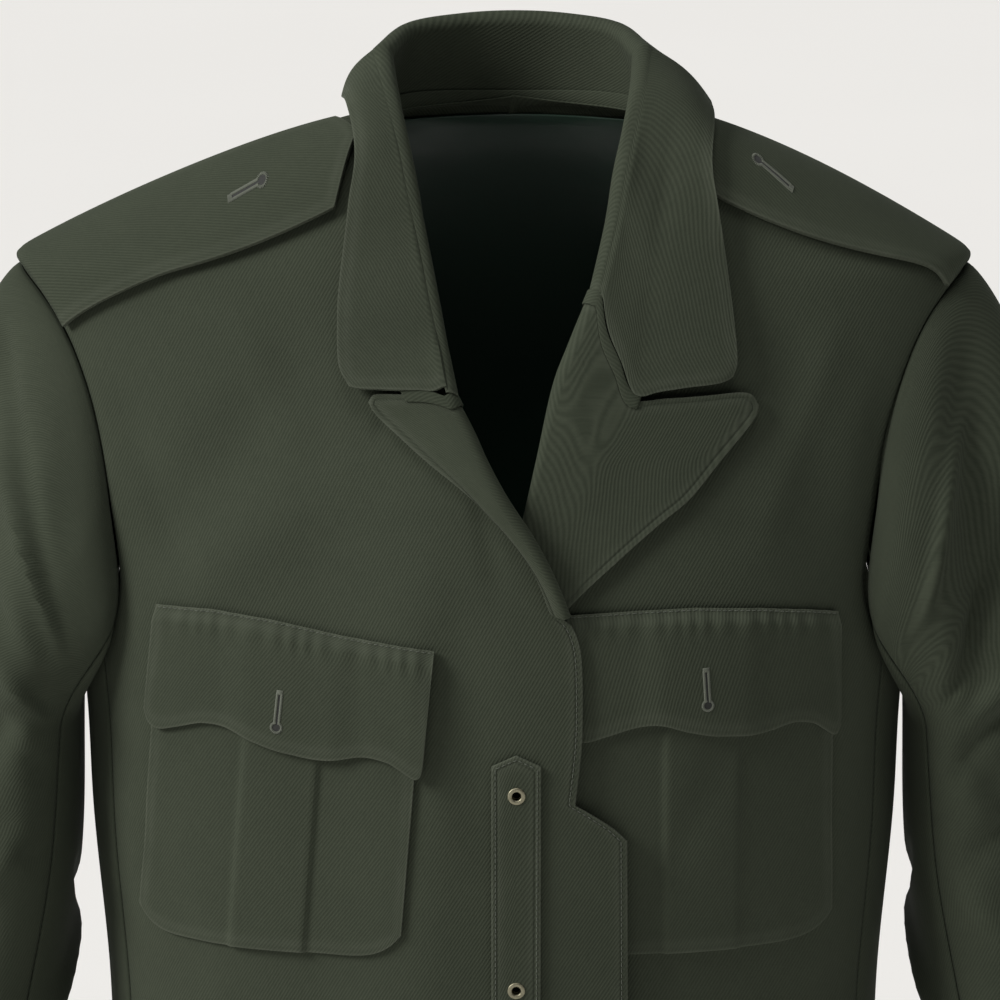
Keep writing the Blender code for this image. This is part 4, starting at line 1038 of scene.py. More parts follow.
def fronts(look):
    for side, name in SIDE_NAMES.items():
        grid = front_grid(side)
        lift = front_lift(side, grid[..., 0], grid[..., 1])
        face = off_body(grid[..., 0], grid[..., 1], lift)
        back = off_body(grid[..., 0], grid[..., 1], lift - CLOTH)
        sewn = ("top", "last", ("first", 0, NECK_ROWS))
        shell("front_" + name, face, back, look, (("first", NECK_ROWS + ROLL_ROWS, None), "bottom"),
              sewn, FRONT_GRAIN, sewn)


def side_panels(look):
    """The panels under the arms."""
    for side, name in SIDE_NAMES.items():
        top = armhole(np.array([FRONT_SEAM_TURN]))[0, 1]
        heights = side_heights(top, EDGE_ROWS, STEP_ROWS, LOWER_ROWS)
        ahead = side_seam(FRONT_SEAM_TURN, FRONT_SEAM_HEM, heights) + (SEAM_ANGLE, 0)
        behind = side_seam(BACK_SEAM_TURN, BACK_SEAM_HEM, heights) - (SEAM_ANGLE, 0)
        grid = between(ahead, behind, SIDE_COLUMNS)
        hole = armhole(np.linspace(FRONT_SEAM_TURN, BACK_SEAM_TURN, SIDE_COLUMNS + 1))
        dip = hole[:, 1] - top
        fade = np.clip(1 - np.arange(len(heights)) / EDGE_ROWS, 0, 1)
        grid[..., 1] += fade[:, None] * dip[None, :]
        grid[..., 0] *= side
        face = off_body(grid[..., 0], grid[..., 1], 0 * grid[..., 0])
        back = off_body(grid[..., 0], grid[..., 1], 0 * grid[..., 0] - CLOTH)
        shell("side_" + name, face, back, look, ("bottom",), SEWN_ROUND, None, SEWN_ROUND)


BACK_NECK_ROWS = 5 * FINE
BACK_SEAM_ROWS = 15 * FINE
CENTRE_SEAM_ANGLE = 0.08


def back_grid(side):
    neck_angles = np.linspace(90 + SHOULDER_SEAM_ANGLE, 180 - CENTRE_SEAM_ANGLE, BACK_NECK_ROWS + 1)
    neck = np.column_stack([neck_angles, 0 * neck_angles])
    centre_heights = np.linspace(0, HEM_Z, BACK_SEAM_ROWS + 1)
    centre = np.column_stack([0 * centre_heights + 180 - CENTRE_SEAM_ANGLE, centre_heights])
    turns = np.linspace(360, BACK_SEAM_TURN, 2 * BACK_NECK_ROWS + 1)
    hole = armhole(turns)
    heights = np.linspace(hole[-1, 1], HEM_Z, BACK_SEAM_ROWS - BACK_NECK_ROWS + 1)
    outer = joined(hole, side_seam(BACK_SEAM_TURN, BACK_SEAM_HEM, heights))
    outer[:, 0] += SEAM_ANGLE
    grid = between(joined(neck, centre), outer, BACK_COLUMNS)
    grid[0, :, 0] = 90 + SHOULDER_SEAM_ANGLE
    return grid * (side, 1)


def backs(look):
    for side, name in SIDE_NAMES.items():
        grid = back_grid(side)
        lift = back_lift(grid[..., 0], grid[..., 1])
        face = off_body(grid[..., 0], grid[..., 1], lift)
        back = off_body(grid[..., 0], grid[..., 1], lift - CLOTH)
        shell("back_" + name, face, back, look, ("bottom",), SEWN_ROUND, BACK_GRAIN, SEWN_ROUND)


# The lining shows inside the neck: its half angle round the back and its lowest height
LINING_ANGLE = 62.0
LINING_TOP = -0.006
LINING_LOW = -0.33
LINING_GAP = 0.0022


def lining(look):
    """The satin that shows through the open neck, just inside the backs."""
    heights = np.linspace(LINING_TOP, LINING_LOW, 8 * FINE + 1)
    angles = np.linspace(180 - LINING_ANGLE, 180 + LINING_ANGLE, 16 * FINE + 1)
    angle, z = np.meshgrid(angles, heights)
    inside = back_lift((angle + 180) % 360 - 180, z) - CLOTH - LINING_GAP
    face = off_body(angle, z, inside)
    back = off_body(angle, z, inside - LINING_CLOTH)
    shell("back_lining", face, back, look)


# Lapels: outer edge from the peak to the break, and the top row from the gorge to the peak
LAPEL_EDGE = {
    RIGHT: ((-0.058, -0.125), (-0.055, -0.130), (-0.044, -0.140), (-0.029, -0.153),
            (-0.010, -0.168), (0.008, -0.186), (0.019, -0.202), (0.026, -0.219)),
    LEFT: ((0.124, -0.128), (0.121, -0.135), (0.106, -0.152), (0.091, -0.169),
           (0.078, -0.179), (0.059, -0.195), (0.035, -0.217), (0.008, -0.248)),
}
LAPEL_TOP = {
    RIGHT: ((-0.0275, -0.1232), (-0.0340, -0.1220), (-0.0400, -0.1217), (-0.0460, -0.1215),
            (-0.0510, -0.1213), (-0.0555, -0.1218), (-0.0580, -0.1250)),
    LEFT: ((0.0510, -0.0965), (0.0570, -0.1100), (0.0636, -0.1240), (0.0800, -0.1240),
           (0.0970, -0.1232), (0.1180, -0.1222), (0.1240, -0.1280)),
}
# How far down the lapel, as a share of the roll line, its top row's shape reaches
LAPEL_TOP_REACH = 0.75
CURL_STEPS = 4 * ROLL_FINE
LAPEL_COLUMNS = 7 * FINE


def lapels(look):
    """The lapels: each facing curls over the roll line and lies back on its front."""
    for side, name in SIDE_NAMES.items():
        radius = roll_radii(side)
        base, _, inward = roll_base(side, radius)
        base = base - inward * SEAM_GAP
        edge = spaced(LAPEL_EDGE[side], ROLL_ROWS, on_front)
        top = finer((tuple(base[0]), *LAPEL_TOP[side]), LAPEL_COLUMNS)
        rows = []
        for row in range(ROLL_ROWS + 1):
            curl = []
            for turn in np.linspace(0, np.pi, CURL_STEPS + 1)[:-1]:
                place = base[row] - inward[row] * radius[row] * np.sin(turn)
                curl.append((*place, radius[row] * (1 - np.cos(turn))))
            part = np.linspace(0, 1, LAPEL_COLUMNS + 1)[:, None]
            leaf = base[row] * (1 - part) + edge[row] * part
            straight = base[0] * (1 - part) + edge[0] * part
            leaf = leaf + (top - straight) * ease(LAPEL_TOP_REACH, 0, row / ROLL_ROWS)
            settle = ease(0, 1, part)
            lift = 2 * radius[row] + (LAPEL_EDGE_LIFT - 2 * radius[row]) * settle
            rows.append(np.concatenate([np.array(curl), np.column_stack([leaf, lift])]))
        rows = np.array(rows)
        face = front_point(side, rows[..., 0], rows[..., 1], rows[..., 2])
        out = normals(face) * side
        shell("lapel_" + name, face, face - out * CLOTH, look, ("last", "top"), (), LAPEL_GRAIN,
              (("top", 0, CURL_STEPS + LAPEL_COLUMNS // 2),))


# Breast pockets: a patch with a raised box pleat, under a scalloped flap
POCKET_MIDDLE = {RIGHT: -0.0945, LEFT: 0.0975}
POCKET_SLANT = {RIGHT: 0.085, LEFT: 0.004}
POCKET_HALF = 0.0625
POCKET_BELOW_FLAP = 0.0090
POCKET_BOTTOM = -0.386
PLEAT_HALF = 0.0178
PLEAT_RISE = 0.0014
POCKET_PLACES = (-1, -0.93, -0.76, -0.53, -0.305, -0.265, 0, 0.265, 0.305, 0.53, 0.76, 0.93, 1)
POCKET_PLEAT = (0, 0, 0, 0, 0, 1, 1, 1, 0, 0, 0, 0, 0)
POCKET_ROWS = 7 * FINE
POCKET_CORNER = 0.013
POCKET_SQUARENESS = 8


def pockets(look):
    for side, name in SIDE_NAMES.items():
        across = split(POCKET_PLACES, FINE)[None, :]
        down = np.linspace(0, 1, POCKET_ROWS + 1)[:, None]
        x = POCKET_MIDDLE[side] + POCKET_HALF * across + 0 * down
        flap = np.array(sorted(FLAP_TOP[side]))
        top = np.interp(x, flap[:, 0], flap[:, 1]) - POCKET_BELOW_FLAP
        low = POCKET_BOTTOM + POCKET_CORNER * np.abs(across) ** POCKET_SQUARENESS
        z = top + (low - top) * down
        x = x - (z - top) * POCKET_SLANT[side] * side
        raised = PLEAT_RISE * split(POCKET_PLEAT, FINE)[None, :] + 0 * down
        face = front_point(side, x, z, LAID_GAP + POCKET_CLOTH + raised)
        back = front_point(side, x, z, LAID_GAP + 0 * x)
        shell("pocket_" + name, face, back, look, rims=("first", "last", "bottom"))


FLAP_TOP = {
    RIGHT: ((-0.158, -0.222), (-0.131, -0.2215), (-0.103, -0.2245), (-0.072, -0.2300),
            (-0.043, -0.2340), (-0.027, -0.2360)),
    LEFT: ((0.162, -0.226), (0.149, -0.2235), (0.125, -0.2205), (0.094, -0.2185),
           (0.066, -0.2190), (0.034, -0.2205)),
}
FLAP_SLANT = {RIGHT: -0.0050, LEFT: 0.0005}
FLAP_DROP = 0.98
# The scalloped lower edge: place from outer end to inner end, drop below the top edge
FLAP_SCALLOP = (
    (-1.0, 0.0520), (-0.97, 0.0585), (-0.90, 0.0610), (-0.78, 0.0590), (-0.60, 0.0555),
    (-0.44, 0.0550), (-0.26, 0.0590), (-0.12, 0.0610), (0.0, 0.0612), (0.12, 0.0610),
    (0.26, 0.0590), (0.44, 0.0550), (0.60, 0.0555), (0.78, 0.0590), (0.90, 0.0610),
    (0.97, 0.0585), (1.0, 0.0520),
)
FLAP_PLACES_DOWN = (0, 0.15, 0.42, 0.71, 1)
FLAP_RISE_OVER = 0.008
PLEAT_SHOULDER = 0.016
FLAP_LOW_LIFT = 0.0024
FLAP_LIFT = 0.0049
FLAP_PLEAT_LIFT = 0.0017
# Puckers along the flap's top seam: height, spacing, distance below the seam, reach
FLAP_PUCKERS = (0.00045, 0.0088, 0.0060, 0.0060)
# How the puckers' spacing wanders: amount in radians, and radians a metre
PUCKER_WANDER = (1.7, 140.0)


def flaps(look):
    scallop = finer(FLAP_SCALLOP, (len(FLAP_SCALLOP) - 1) * FINE)
    for side, name in SIDE_NAMES.items():
        top = np.array(FLAP_TOP[side])
        run = np.linspace(-1, 1, len(top))
        across = scallop[:, 0]
        top_x = np.interp(across, run, top[:, 0])[None, :]
        top_z = np.interp(across, run, top[:, 1])[None, :]
        down = split(FLAP_PLACES_DOWN, FINE)[:, None]
        drop = scallop[:, 1][None, :] * FLAP_DROP * down
        x = top_x + FLAP_SLANT[side] * down
        z = top_z - drop
        over_pleat = ease(PLEAT_HALF + PLEAT_SHOULDER, PLEAT_HALF, np.abs(x - POCKET_MIDDLE[side]))
        risen = ease(0, FLAP_RISE_OVER, drop)
        lift = FLAP_LOW_LIFT + (FLAP_LIFT + FLAP_PLEAT_LIFT * over_pleat - FLAP_LOW_LIFT) * risen
        high, spacing, below, reach = FLAP_PUCKERS
        wander, turns = PUCKER_WANDER
        ripple = np.sin(2 * np.pi * x / spacing + wander * np.sin(x * turns))
        lift = lift + high * ripple * np.exp(-(((drop - below) / reach) ** 2))
        face = front_point(side, x, z, lift)
        back = front_point(side, x, z, lift - POCKET_CLOTH)
        shell("flap_" + name, face, back, look, rims=("top", "first", "last", "bottom"))


# The eyelet strip down the right front, with a pointed top
STRIP_LEFT = -0.0008
STRIP_RIGHT = 0.0222
STRIP_SHOULDER = -0.2895
STRIP_POINT = -0.2842
STRIP_BOTTOM = -0.535
STRIP_CLOTH = 0.0014
STRIP_ROWS = 9 * FINE
EYELET_X = 0.0108
EYELET_HEIGHTS = (-0.3035, -0.4000, -0.4965)
EYELET_FLANGE = 0.0042
EYELET_HOLE = 0.0021
EYELET_CLEARANCE = 0.0032
CUTTER_DEPTH = 0.02
CUTTER_SIDES = 32


def eyelet_strip(look):
    across = np.linspace(0, 1, 4 * FINE + 1)[None, :]
    down = np.linspace(0, 1, STRIP_ROWS + 1)[:, None]
    top = STRIP_SHOULDER + (STRIP_POINT - STRIP_SHOULDER) * (1 - np.abs(2 * across - 1))
    x = STRIP_LEFT + (STRIP_RIGHT - STRIP_LEFT) * across + 0 * down
    z = top + (STRIP_BOTTOM - top) * down
    face = front_point(RIGHT, x, z, LAID_GAP + STRIP_CLOTH + 0 * x)
    back = front_point(RIGHT, x, z, LAID_GAP + 0 * x)
    shell("eyelet_strip", face, back, look, ("top", "first", "last", "bottom"))


def eyelet_frame(height):
    """Centre and outward direction of an eyelet on the right front's outer face."""
    x = np.array([EYELET_X])
    z = np.array([height])
    inner = front_point(RIGHT, x, z, np.array([0.0]))[0]
    outer = front_point(RIGHT, x, z, np.array([0.01]))[0]
    return inner, unit(outer - inner)


RIM_MIDDLE = (EYELET_FLANGE + EYELET_HOLE) / 2
RIM_THICK = (EYELET_FLANGE - EYELET_HOLE) / 2
RIM_FLATNESS = 0.62
BACK_RIM_FLATNESS = 0.6 * RIM_FLATNESS
RIM_SIDES = 56
RIM_RINGS = 18
BARREL_RADIUS = EYELET_HOLE + 0.0002
BARREL_METAL = 0.0003


def placed(piece, centre, out):
    """Turns a finished piece to face outwards at its place, and keeps that in its mesh."""
    piece.rotation_mode = "QUATERNION"
    piece.rotation_quaternion = Vector(out).to_track_quat("Z", "Y")
    piece.location = centre
    settled(piece)


def eyelets(look, cloths):
    """Rolled metal eyelets, each with a front rim, a barrel and a back rim, and their holes."""
    top = LAID_GAP + STRIP_CLOTH
    low = -CLOTH - SEAM_GAP
    for number, height in enumerate(EYELET_HEIGHTS, 1):
        centre, out = eyelet_frame(height)
        bpy.ops.object.select_all(action="DESELECT")
        bpy.ops.mesh.primitive_cylinder_add(vertices=CUTTER_SIDES, radius=EYELET_CLEARANCE,
                                            depth=CUTTER_DEPTH)
        cutter = bpy.context.object
        placed(cutter, centre, out)
        for cloth in cloths:
            applied(cloth, "BOOLEAN", operation="DIFFERENCE", object=cutter, solver="EXACT")
        bpy.data.objects.remove(cutter)
        parts = []
        for place, flat in ((top, RIM_FLATNESS), (low, BACK_RIM_FLATNESS)):
            bpy.ops.object.select_all(action="DESELECT")
            bpy.ops.mesh.primitive_torus_add(location=(0, 0, place), major_radius=RIM_MIDDLE,
                                             minor_radius=RIM_THICK,
                                             major_segments=RIM_SIDES, minor_segments=RIM_RINGS)
            rim = bpy.context.object
            rim.scale = (1, 1, flat)
            settled(rim)
            parts.append(rim)
        bpy.ops.object.select_all(action="DESELECT")
        bpy.ops.mesh.primitive_cylinder_add(vertices=RIM_SIDES, radius=BARREL_RADIUS,
                                            depth=top - low, end_fill_type="NOTHING",
                                            location=(0, 0, (top + low) / 2))
        barrel = bpy.context.object
        settled(barrel)
        applied(barrel, "SOLIDIFY", thickness=BARREL_METAL, offset=1.0)
        metal = as_one([*parts, barrel])
        metal.name = f"rolled_eyelet_{number}"
        placed(metal, centre, out)
        metal.data.materials.clear()
        metal.data.materials.append(look)
        metal.data.shade_smooth()
        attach(metal, "root")
        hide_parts(f"eyelet_{number}")


# Epaulettes, in plan: distance from the middle, front edge y and back edge y
EPAULETTE = np.array((
    (0.060, -0.0500, -0.0150),
    (0.075, -0.0510, -0.0125),
    (0.090, -0.0520, -0.0090),
    (0.110, -0.0532, -0.0070),
    (0.141, -0.0538, -0.0060),
    (0.172, -0.0500, -0.0010),
    (0.204, -0.0395, 0.0085),
    (0.228, -0.0310, 0.0145),
))
EPAULETTE_BACKSET = {RIGHT: 0.0, LEFT: 0.009}
EPAULETTE_TIP = {RIGHT: -0.063, LEFT: 0.086}
EPAULETTE_POINT = 0.011
EPAULETTE_ROWS = 11 * FINE
EPAULETTE_COLUMNS = 6 * FINE
EPAULETTE_INSET = 0.0010
EPAULETTE_GAP = 0.0019
# Its outer end follows the sleeve seam, and settles in this many rounds
EPAULETTE_ROUNDS = 3
# A place over the shoulder is found between these heights, by this many halvings
SHOULDER_HEIGHTS = (-0.2, 0.02)
HALVINGS = 40


def section_at(y, z):
    """How square the body's section is at a height, and its depth on y's side."""
    depth = np.where(y < 0, down_table(z, BODY, 2), down_table(z, BODY, 3))
    return down_table(z, SQUARENESS, 1), depth


def top_point(x, y, lift):
    """A point over the shoulder, from its place in plan."""
    low = np.full(np.broadcast(x, y).shape, SHOULDER_HEIGHTS[0])
    high = np.full(low.shape, SHOULDER_HEIGHTS[1])
    for _ in range(HALVINGS):
        z = (low + high) / 2
        power, depth = section_at(y, z)
        reach = (np.abs(x - middle(z)) / half_width(z)) ** power + (np.abs(y) / depth) ** power
        high = np.where(reach > 1, z, high)
        low = np.where(reach > 1, low, z)
    power, depth = section_at(y, z)
    part = np.arccos(np.clip((np.abs(y) / depth) ** (power / 2), 0, 1))
    angle = np.where(y < 0, np.degrees(part), 180 - np.degrees(part)) * np.sign(x)
    return body_base(angle, z) + body_normal(angle, z) * np.asarray(lift)[..., None]


def sleeve_seam_x(y):
    """Distance from the middle to the sleeve seam, over the top of the shoulder."""
    turns = np.concatenate([np.arange(290, 360, 2.0), np.arange(0, 70, 2.0)])
    seam_points = on_body(armhole(turns))
    order = np.argsort(seam_points[:, 1])
    return np.interp(y, seam_points[order, 1], seam_points[order, 0])


def epaulettes(look):
    front_edge = np.polyfit(EPAULETTE[:, 0], EPAULETTE[:, 1], 3)
    back_edge = np.polyfit(EPAULETTE[:, 0], EPAULETTE[:, 2], 3)
    for side, name in SIDE_NAMES.items():
        part = np.linspace(0, 1, EPAULETTE_ROWS + 1)[:, None]
        across = np.linspace(-1, 1, EPAULETTE_COLUMNS + 1)[None, :]
        tip_x = np.abs(EPAULETTE_TIP[side]) + EPAULETTE_POINT * np.abs(across)
        x = EPAULETTE[-1, 0] + (tip_x - EPAULETTE[-1, 0]) * part
        for _ in range(EPAULETTE_ROUNDS):
            ahead = np.polyval(front_edge, x)
            behind = np.polyval(back_edge, x)
            y = (ahead + behind) / 2 + (behind - ahead) / 2 * across + EPAULETTE_BACKSET[side]
            end_x = sleeve_seam_x(y[0]) - EPAULETTE_INSET
            x = end_x[None, :] + (tip_x - end_x[None, :]) * part
        x = x * side
        face = top_point(x, y, EPAULETTE_GAP + EPAULETTE_CLOTH + 0 * x)
        back = top_point(x, y, EPAULETTE_GAP + 0 * x)
        shell("epaulette_" + name, face, back, look, sewn=("top",),
              grain=EPAULETTE_GRAIN * (side, 1, 1), rims=("first", "last", "bottom"))


# Sleeve rings: height, centre x, centre y, half width, half depth, inward lean of the front
SLEEVE = np.array((
    (-0.290, 0.2465, 0.000, 0.0450, 0.0740, 0.018),
    (-0.360, 0.2485, 0.000, 0.0450, 0.0700, 0.012),
    (-0.430, 0.2560, -0.002, 0.0440, 0.0660, 0.005),
    (-0.520, 0.2690, -0.015, 0.0420, 0.0610, 0.000),
    (-0.600, 0.2800, -0.029, 0.0400, 0.0570, 0.000),
    (-0.680, 0.2900, -0.045, 0.0385, 0.0535, 0.000),
))
# How the sleeve leaves the armhole: turn, outward, forward, downward
SLEEVE_HEAD = np.array((
    (0, 0.090, 0.000, 0.060),
    (45, 0.085, 0.030, 0.055),
    (90, 0.030, 0.062, 0.045),
    (130, -0.012, 0.060, 0.030),
    (180, 0.006, 0.000, 0.014),
    (230, -0.004, -0.045, 0.030),
    (270, 0.035, -0.055, 0.045),
    (315, 0.085, -0.030, 0.055),
    (360, 0.090, 0.000, 0.060),
))
SLEEVE_SEAM_FRONT = 125.0
SLEEVE_SEAM_BACK = 280.0
SLEEVE_SEAM_HALF_GAP = 0.34
HEAD_ROWS = 6 * FINE
TUBE_ROWS = 9 * FINE
UPPER_COLUMNS = 12 * FINE
UNDER_COLUMNS = 8 * FINE
SLEEVE_GIRTH = 0.062
# Over this height the tube's lean is measured where the sleeve's head joins it
LEAN_STEP = 0.02
# Where down the sleeve its creases rise and fade
SLEEVE_FOLDS_RISE = (0.04, 0.25)
SLEEVE_FOLDS_FADE = (2, 1.8)
# Sleeve creases: turn, distance down at start, turn, distance down at end, half width, depth
SLEEVE_FOLDS = {
    RIGHT: (
        (20, 0.030, 60, 0.190, 0.012, -0.0050),
        (62, 0.060, 95, 0.230, 0.013, 0.0042),
        (95, 0.190, 25, 0.300, 0.011, -0.0045),
        (100, 0.270, 40, 0.330, 0.010, 0.0042),
        (40, 0.360, 110, 0.400, 0.012, -0.0050),
        (200, 0.330, 140, 0.380, 0.012, 0.0045),
        (300, 0.060, 275, 0.230, 0.014, -0.0045),
        (250, 0.330, 310, 0.390, 0.012, 0.0045),
        (60, 0.480, 115, 0.530, 0.012, -0.0038),
    ),
    LEFT: (
        (38, 0.035, 84, 0.185, 0.011, -0.0062),
        (20, 0.060, 62, 0.200, 0.012, 0.0050),
        (92, 0.230, 30, 0.290, 0.011, -0.0045),
        (105, 0.300, 50, 0.350, 0.011, 0.0045),
        (45, 0.390, 110, 0.420, 0.012, -0.0048),
        (210, 0.320, 150, 0.370, 0.012, 0.0045),
        (290, 0.070, 270, 0.240, 0.014, -0.0045),
        (255, 0.340, 305, 0.400, 0.012, 0.0042),
        (55, 0.470, 110, 0.520, 0.012, -0.0038),
    ),
}


def sleeve_ring(turn, z):
    round_turn = np.radians(turn)
    x = down_table(z, SLEEVE, 1) + down_table(z, SLEEVE, 3) * np.cos(round_turn)
    x = x - down_table(z, SLEEVE, 5) * np.clip(np.sin(round_turn), 0, 1) ** 1.5
    y = down_table(z, SLEEVE, 2) - down_table(z, SLEEVE, 4) * np.sin(round_turn)
    return np.stack([x, y, z + 0 * x], axis=-1)


def sleeve_base(turn, part):
    """The left sleeve's plain form. Part 0 is the armhole, 1 the top ring and 2 the cuff."""
    turn, part = np.broadcast_arrays(np.asarray(turn, float), np.asarray(part, float))
    angle, z = armhole(turn.ravel() % 360).T
    start = body_base(angle, z).reshape(*turn.shape, 3)
    head = SLEEVE_HEAD
    wrapped = turn % 360
    out = np.interp(wrapped, head[:, 0], head[:, 1])
    forward = np.interp(wrapped, head[:, 0], head[:, 2])
    down = np.interp(wrapped, head[:, 0], head[:, 3])
    leave = np.stack([out, -forward, -down], axis=-1)
    top_z = SLEEVE[0, 0]
    end = sleeve_ring(turn, np.full(turn.shape, top_z))
    below = sleeve_ring(turn, np.full(turn.shape, top_z - LEAN_STEP))
    arrive = (below - end) / LEAN_STEP * np.linalg.norm(end - start, axis=-1, keepdims=True)
    head_part = np.clip(part, 0, 1)[..., None]
    square = head_part**2
    cube = head_part**3
    curve = start * (2 * cube - 3 * square + 1) + end * (3 * square - 2 * cube)
    curve = curve + leave * (cube - 2 * square + head_part) + arrive * (cube - square)
    tube = sleeve_ring(turn, top_z + (SLEEVE[-1, 0] - top_z) * np.clip(part - 1, 0, 1))
    return np.where(part[..., None] < 1, curve, tube)


def sleeve_normal(turn, part):
    step = 0.02
    at = np.clip(part, step, 2 - step)
    round_arm = sleeve_base(turn + 1, at) - sleeve_base(turn - 1, at)
    down = sleeve_base(turn, at + step) - sleeve_base(turn, at - step)
    out = np.cross(round_arm, down)
    return out / np.linalg.norm(out, axis=-1, keepdims=True)


def sleeve_lift(side, turn, part):
    head_length = SLEEVE[0, 0] + SHOULDER_DROP
    tube_length = SLEEVE[-1, 0] - SLEEVE[0, 0]
    down = -head_length * np.clip(part, 0, 1) - tube_length * np.clip(part - 1, 0, 1)
    table = [
        (np.radians(t1) * SLEEVE_GIRTH, d1, np.radians(t2) * SLEEVE_GIRTH, d2, width, depth)
        for t1, d1, t2, d2, width, depth in SLEEVE_FOLDS[side] + FINE_SLEEVE_FOLDS[side]
    ]
    around = np.radians(turn % 360) * SLEEVE_GIRTH
    return folds(around, down, table) * ease(*SLEEVE_FOLDS_RISE, part) * ease(*SLEEVE_FOLDS_FADE, part)


def sleeves(look):
    """Two-piece sleeves, hanging just clear of the body."""
    pieces = (
        ("upper_sleeve_", SLEEVE_SEAM_BACK - 360, SLEEVE_SEAM_FRONT, UPPER_COLUMNS),
        ("under_sleeve_", SLEEVE_SEAM_FRONT, SLEEVE_SEAM_BACK, UNDER_COLUMNS),
    )
    parts = joined(np.linspace(0, 1, HEAD_ROWS + 1), np.linspace(1, 2, TUBE_ROWS + 1))
    for side, name in SIDE_NAMES.items():
        for title, first, last, columns in pieces:
            turns = np.linspace(first + SLEEVE_SEAM_HALF_GAP, last - SLEEVE_SEAM_HALF_GAP, columns + 1)
            turn, part = np.meshgrid(turns, parts)
            out = sleeve_normal(turn, part)
            face = sleeve_base(turn, part) + out * sleeve_lift(side, turn, part)[..., None]
            back = face - out * CLOTH
            mirror = (side, 1, 1)
            shell(title + name, face * mirror, back * mirror, look, ("bottom",), SEWN_ROUND,
                  SLEEVE_GRAIN, SEWN_ROUND)


# Collar: the crest of its fold and its outer edge, from each gorge to beside the neck
COLLAR_CREST = {
    RIGHT: ((-0.0182, -0.0950, -0.1208), (-0.0228, -0.0840, -0.1000), (-0.0285, -0.0740, -0.0720),
            (-0.0335, -0.0630, -0.0480), (-0.0390, -0.0520, -0.0200), (-0.0465, -0.0280, 0.0100),
            (-0.0520, 0.0040, 0.0300)),
    LEFT: ((0.0468, -0.0755, -0.0755), (0.0545, -0.0620, -0.0450), (0.0590, -0.0500, -0.0200),
           (0.0665, -0.0250, 0.0100), (0.0700, 0.0040, 0.0300)),
}
COLLAR_EDGE = {
    RIGHT: ((-0.0660, -0.0915, -0.1195), (-0.0710, -0.0865, -0.1100), (-0.0720, -0.0790, -0.0900),
            (-0.0710, -0.0720, -0.0710), (-0.0675, -0.0600, -0.0365), (-0.0645, -0.0490, -0.0120),
            (-0.0680, -0.0230, 0.0060), (-0.0710, 0.0040, 0.0070)),
    LEFT: ((0.1100, -0.0845, -0.1150), (0.1125, -0.0820, -0.1080), (0.1110, -0.0740, -0.0880),
           (0.1080, -0.0640, -0.0620), (0.1050, -0.0530, -0.0360), (0.1030, -0.0420, -0.0160),
           (0.1040, -0.0200, -0.0010), (0.1030, 0.0040, 0.0040)),
}
CREST_BEHIND = ((-0.0520, 0.0040, 0.0300), (-0.0400, 0.0360, 0.0370), (-0.0150, 0.0500, 0.0400),
                (0.0100, 0.0530, 0.0410), (0.0350, 0.0500, 0.0400), (0.0590, 0.0360, 0.0370),
                (0.0700, 0.0040, 0.0300))
EDGE_BEHIND = ((-0.0710, 0.0040, 0.0070), (-0.0600, 0.0470, 0.0010), (-0.0300, 0.0680, -0.0060),
               (0.0100, 0.0750, -0.0080), (0.0500, 0.0680, -0.0060), (0.0840, 0.0470, 0.0000),
               (0.1030, 0.0040, 0.0040))
# The leaf's front end, as x and z on the front: the gorge seam, then the collar's point
COLLAR_END = {
    RIGHT: ((-0.0275, -0.1208), (-0.0340, -0.1205), (-0.0410, -0.1204), (-0.0480, -0.1202),
            (-0.0550, -0.1199), (-0.0620, -0.1196), (-0.0665, -0.1185)),
    LEFT: ((0.0530, -0.0940), (0.0592, -0.1085), (0.0655, -0.1225), (0.0770, -0.1212),
           (0.0900, -0.1195), (0.1040, -0.1180), (0.1105, -0.1150)),
}
COLLAR_RADIUS = 0.0034
COLLAR_END_LIFT = (0.0088, 0.0052)
COLLAR_FRONT_STATIONS = NECK_ROWS
COLLAR_BACK_STATIONS = 2 * BACK_NECK_ROWS
STAND_STEPS = 2 * ROLL_FINE
LEAF_STEPS = 7 * FINE
LEAF_BULGE = 0.0030
# How far from each end, as a share of the front stations, the leaf follows its end's line
LEAF_END_REACH = 0.85
GORGE_GAP = 0.0018
COLLAR_FOOT_GAP = 0.0020


def collar_neckline():
    """Points on the fronts' and backs' neck edges, from the right gorge round to the left one."""
    front_parts = {}
    for side in SIDE_NAMES:
        base, _, _ = roll_base(side, roll_radii(side))
        gorge = as_angles(base)[0] + (0, GORGE_GAP)
        neck = spaced((*NECKLINE[side], tuple(gorge)), COLLAR_FRONT_STATIONS, on_body)
        front_parts[side] = neck
    behind_angles = np.linspace(90, 270, COLLAR_BACK_STATIONS + 1)
    behind = np.column_stack([-behind_angles, 0 * behind_angles])
    left = front_parts[LEFT] - (360, 0)
    path = joined(front_parts[RIGHT][::-1], behind, left)
    return off_body(path[:, 0], path[:, 1], np.full(len(path), COLLAR_FOOT_GAP))


def collar_line(front_tables, behind):
    """A collar line from the right gorge round the neck to the left gorge."""
    def same(points):
        return points
    right = spaced(front_tables[RIGHT], COLLAR_FRONT_STATIONS, same)
    left = spaced(front_tables[LEFT], COLLAR_FRONT_STATIONS, same)
    back = spaced(behind, COLLAR_BACK_STATIONS, same)
    return joined(right, back, left[::-1])


